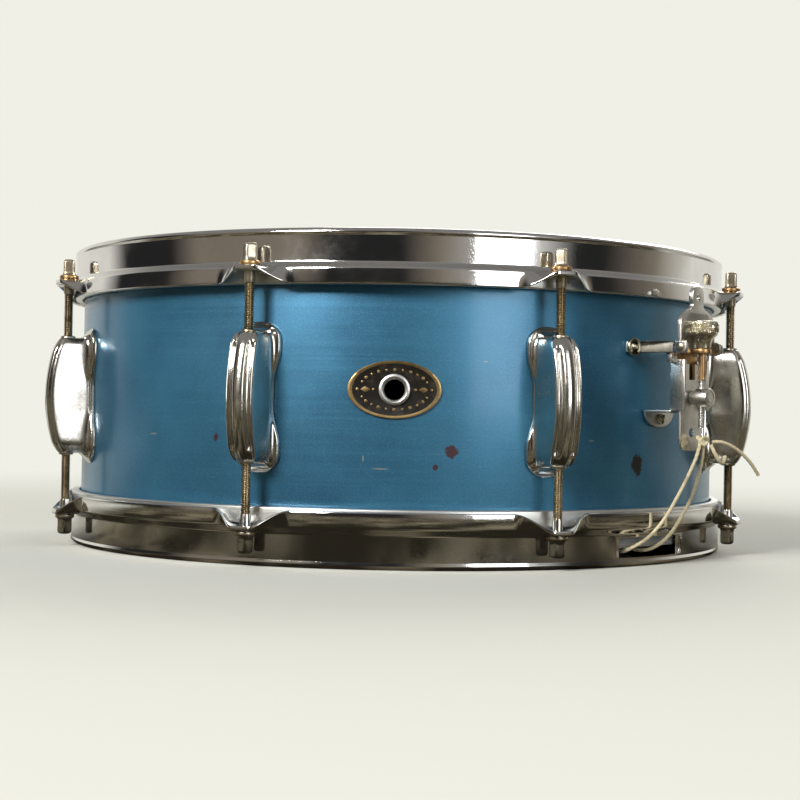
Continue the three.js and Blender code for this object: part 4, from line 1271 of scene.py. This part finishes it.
def build_carriage():
    low, half = 57.0, 9.9
    outline = rounded([(-half, 100), (-half, low), (half, low), (half, 100)], [1, 6.4, 6.4, 1], 10)
    shape = Shape()
    shape.plate(outline, 196.9, 198.3, 0.45, 3, matrix=UPRIGHT)
    plate = shape.piece("carriage_slide_plate", STRAINER_CHROME, STRAINER_AZ, sharp=50)
    slot = Shape()
    slot.plate(rounded_rectangle(5.2, 14, 0.6, 0, 99.0), 194, 201, 0.01, matrix=UPRIGHT)
    hole = radial_cylinder("cord_hole", 2.2, 194, 201, CORD_HOLE_Z, STRAINER_AZ)
    carve(plate, hole, slot.piece("slot_cut", [], STRAINER_AZ))
    plate.data.set_sharp_from_angle(angle=math.radians(50))
    settle(plate, "cord_carriage", "strainer_chrome", "carriage_plate")
    shape = Shape()
    profile = [(0, 198.6), (3.4, 198.6), (3.4, 201.6), (4.3, 201.7), (4.65, 202.1), (4.65, 208.3),
               (4.3, 208.9), (3.6, 209.0), (3.3, 208.6), (2.6, 208.6), (2.3, 209.0), (0, 209.0)]
    shape.turned(profile, 48, matrix=facing_out(0, 0, 0, NUT_Z))
    settle(shape.piece("barrel_nut_body", STRAINER_CHROME, STRAINER_AZ, sharp=40), "cord_carriage",
           "strainer_chrome", "barrel_nut")


def build_lever():
    """The yoke around the knob: an ear to pull on, two legs and the feet that turn on the pivots."""
    half_width, inner, arch, low, leg_top = 15.4, 9.1, 124.4, 108.0, 116.0
    leg = half_width - PLATE
    right = [(half_width, 118.8), (14.9, 121.2), (12.6, 123.8), (8.4, 126.0), (5.6, 127.3), (4.6, 129.0),
             (5.2, 131.4), (5.0, 134.8), (3.6, 137.2), (1.6, 138.0)]
    top = spline(right + [(-x, z) for x, z in right[::-1]], 4)
    inside = rounded([(-leg, low), (-leg, leg_top), (-inner, leg_top), (-inner, arch),
                      (inner, arch), (inner, leg_top), (leg, leg_top), (leg, low)],
                     [0.1, 1.2, 0.8, 2.8, 2.8, 0.8, 1.2, 0.1], 6)
    outline = np.vstack([[(half_width, low)], top, [(-half_width, low)], inside])
    shape = Shape()
    shape.plate(outline, 198.9, 201.5, 0.5, 4, matrix=UPRIGHT)
    lever = shape.piece("lever_yoke", STRAINER_CHROME, STRAINER_AZ, sharp=50)
    carve(lever, radial_cylinder("lever_hole", 1.7, 197, 205, 132.6, STRAINER_AZ))
    feet = Shape()
    for side in (-1, 1):
        foot = rounded([(-205.2, 104.5), (-198.9, 104.5), (-198.9, 111.1), (-205.2, 111.1)],
                       [3.2, 3.0, 3.0, 3.2], 6)
        spot = moved(t=side * (half_width - PLATE / 2)) @ SIDEWAYS
        feet.plate(foot, -PLATE / 2, PLATE / 2, 0.3, 3, matrix=spot)
    merged(lever, feet.piece("lever_feet", STRAINER_CHROME, STRAINER_AZ, sharp=50))
    settle(lever, "throw_lever", "strainer_chrome", "throw_lever")
    for side, node in ((-1, "lever_pivot_left"), (1, "lever_pivot_right")):
        shape = Shape()
        profile = [(0, 0), (2.2, 0.0), (2.2, 1.0), (1.2, 1.0), (1.2, 4.3), (2.1, 4.3), (2.0, 4.8),
                   (1.2, 5.25), (0, 5.3)]
        lies = moved(t=side * 12.9, r=PIVOT_R, z=STRAP_Z) @ Matrix.Rotation(side * math.pi / 2, 4, "Y")
        shape.turned(profile, 32, matrix=lies)
        settle(shape.piece(node + "_rivet", NICKEL, STRAINER_AZ, sharp=40), "drum", "strainer_chrome", node)


build_strainer_frame()
build_strap_screws()
build_slotted_screws()
build_bracket()
build_knob()
build_carriage()
build_lever()


# ---- butt and snares --------------------------------------------------------------------------

WIRE_COUNT = 12
WIRE_SPACING = 3.4
WIRE_HALF_LENGTH = 156
WIRE_Z = 7.72


def build_butt():
    """A plate on the shell with a clamp bar that holds the two ends of the far cord."""
    shape = Shape()
    shape.plate(rounded_rectangle(40, 26, 5, 0, BUTT_Z, 8), SHELL_R + 0.6, BUTT_FACE, 0.4, matrix=UPRIGHT)
    lip = rounded([(-17, -178.6), (17, -178.6), (17, -187.4), (-17, -187.4)], [0.3, 0.3, 3.0, 3.0], 5)
    shape.plate(lip, BUTT_Z - 13, BUTT_Z - 11.5, 0.3)
    bracket = shape.piece("butt_bracket", STRAINER_CHROME, BUTT_AZ, sharp=40)
    settle(bracket, "drum", "strainer_chrome", "butt_plate")
    back = BUTT_FACE + 2.5
    shape = Shape()
    shape.plate(rounded_rectangle(36, 10, 4.5, 0, BUTT_Z, 8), back, back + 2.4, 0.7, 3, matrix=UPRIGHT)
    clamp = shape.piece("butt_clamp_bar", STRAINER_CHROME, BUTT_AZ, sharp=40)
    settle(clamp, "drum", "strainer_chrome", "butt_clamp")
    spin = np.array(turned_by(BUTT_AZ))[:3, :3]
    held = BUTT_FACE + GAP + CORD_R
    for name, t in (("butt_cord_left", -9.0), ("butt_cord_right", 9.0)):
        route = [(held, BUTT_Z + 8), (held, BUTT_Z), (held, BUTT_Z - 6), (182.6, BUTT_Z - 10.5),
                 (183.6, BUTT_Z - 16), (187.4, 40), (188.4, 24), (187.0, 14.4), (183.0, 9.4), (177.8, 7.0),
                 (171.0, 6.9)]
        piece, _ = cord_piece(name + "_rope", np.array([(t, -r, z) for r, z in route]) @ spin.T)
        settle(piece, "drum", "cotton_cord", name)


def build_snares():
    """Coiled wires soldered between two end plates."""
    shape = Shape()
    for side in (-1, 1):
        plate = rounded_rectangle(44, 15.5, 2.0, 0, side * 160, 5)
        shape.plate(plate, 7.0, 8.5, 0.3)
    pitch, radius, wire = 1.5, 0.62, 0.24
    per_turn = 8
    count = int(2 * WIRE_HALF_LENGTH / pitch * per_turn)
    steps = np.arange(count + 1)
    phase = 2 * math.pi * steps / per_turn
    along = np.linspace(-WIRE_HALF_LENGTH, WIRE_HALF_LENGTH, count + 1)
    for index in range(WIRE_COUNT):
        t = (index - (WIRE_COUNT - 1) / 2) * WIRE_SPACING
        line = np.column_stack([t + radius * np.cos(phase), along, WIRE_Z + radius * np.sin(phase)])
        shape.add(*tube(line, wire, 4))
    piece = shape.piece("snare_wire_set", STEEL, SNARE_AZ, sharp=60)
    settle(piece, "snares", "snare_steel", "snare_wires")


build_butt()
build_snares()


# ---- stage and light --------------------------------------------------------------------------

BACKDROP = (0.871, 0.871, 0.791)
CASE_DARK = (0.028, 0.024, 0.016)
CASE_WORN = (0.26, 0.23, 0.16)
FLOOR_COLOUR = (0.72, 0.72, 0.66)
FLOOR_HALF = 14.0


def add_floor():
    """Pale paper that fades into the backdrop. Reflections see a dark worn cloth in its front half."""
    low, high = -FLOOR_HALF, FLOOR_HALF
    mesh = bpy.data.meshes.new("floor")
    mesh.from_pydata([(low, low, 0), (high, low, 0), (high, high, 0), (low, high, 0)], [], [(0, 1, 2, 3)])
    floor = bpy.data.objects.new("floor", mesh)
    bpy.context.scene.collection.objects.link(floor)
    look = Look("floor_paper", FLOOR_COLOUR, 0.85)
    far = look.node("ShaderNodeEmission")
    far.inputs["Color"].default_value = (*BACKDROP, 1)
    distance = look.fade(look.length(look.place), 0.22, 1.1)
    paper = look.mix_shaders(distance, look.shader.outputs[0], far.outputs[0])
    cloth = look.ramp(look.noise(9, 3, roughness=0.6), (0.46, 0), (0.62, 1))
    behind = look.ramp(look.math("ADD", look.separated(look.place)["Y"], 0.5), (0.44, 0), (0.62, 1))
    case = look.node("ShaderNodeBsdfDiffuse")
    look.link(look.mix(behind, look.mix(cloth, CASE_DARK, CASE_WORN), FLOOR_COLOUR), case.inputs["Color"])
    seen = look.mix_shaders(look.camera_ray(), case.outputs[0], paper)
    look.link(seen, look.tree.nodes["Material Output"].inputs[0])
    floor.data.materials.append(look.material)


def add_light(name, place, target, size, power, colour):
    data = bpy.data.lights.new(name, "AREA")
    data.shape = "RECTANGLE"
    data.size, data.size_y = size
    data.energy = power
    data.color = colour
    light = bpy.data.objects.new(name, data)
    bpy.context.scene.collection.objects.link(light)
    light.location = place
    light.rotation_euler = (Vector(target) - Vector(place)).to_track_quat("-Z", "Y").to_euler()


# A plain studio round the drum, as (azimuth in degrees, colour): a pale wall behind it, and in front of it
# dim panels with black flags between them and one soft card to the right.
WALL = (0.80, 0.79, 0.72)
PANEL = (0.22, 0.19, 0.15)
FLAG = (0.02, 0.02, 0.02)
CARD = (0.60, 0.60, 0.57)
STUDIO = [
    (-180, WALL), (-120, WALL), (-108, FLAG), (-84, FLAG), (-72, PANEL), (-36, PANEL), (-24, FLAG), (0, FLAG),
    (12, PANEL), (36, CARD), (48, CARD), (60, FLAG), (72, FLAG), (96, PANEL), (120, WALL), (180, WALL),
]
CEILING = (0.24, 0.235, 0.225)


def add_world():
    """Pale where the camera looks straight at it; the studio under a dim ceiling for everything else."""
    world = bpy.data.worlds.new("studio")
    bpy.context.scene.world = world
    bpy.context.scene.view_settings.view_transform = "Standard"
    world.use_nodes = True
    world.node_tree.nodes.clear()
    nodes = Nodes(world.node_tree)
    x, y, z = nodes.separated(nodes.node("ShaderNodeTexCoord").outputs["Generated"])
    angle = nodes.math("ARCTAN2", x, nodes.math("MULTIPLY", y, -1.0))
    turn = nodes.math("ADD", nodes.math("DIVIDE", angle, 2 * math.pi), 0.5)
    around = nodes.ramp(turn, *((azimuth / 360 + 0.5, colour) for azimuth, colour in STUDIO))
    room = nodes.node("ShaderNodeBackground")
    nodes.link(nodes.mix(nodes.fade(z, 0.3, 0.7), around, CEILING), room.inputs["Color"])
    seen = nodes.node("ShaderNodeBackground")
    seen.inputs["Color"].default_value = (*BACKDROP, 1)
    surface = nodes.mix_shaders(nodes.camera_ray(), room.outputs[0], seen.outputs[0])
    nodes.link(surface, nodes.node("ShaderNodeOutputWorld").inputs[0])


add_floor()
add_world()
add_light("window", (1.182, -1.855, 0.66), (0, 0, 0.5), (0.74, 1.28), 10, (0.97, 0.99, 1.0))
add_light("high_left", (-1.25, -1.9, 1.3), (0, 0, 0.08), (0.7, 0.8), 62, (1.0, 0.99, 0.96))
add_light("back_wash", (0.6, 1.8, 1.5), (0, 0, 0.1), (1.6, 1.0), 22, (1.0, 0.98, 0.94))
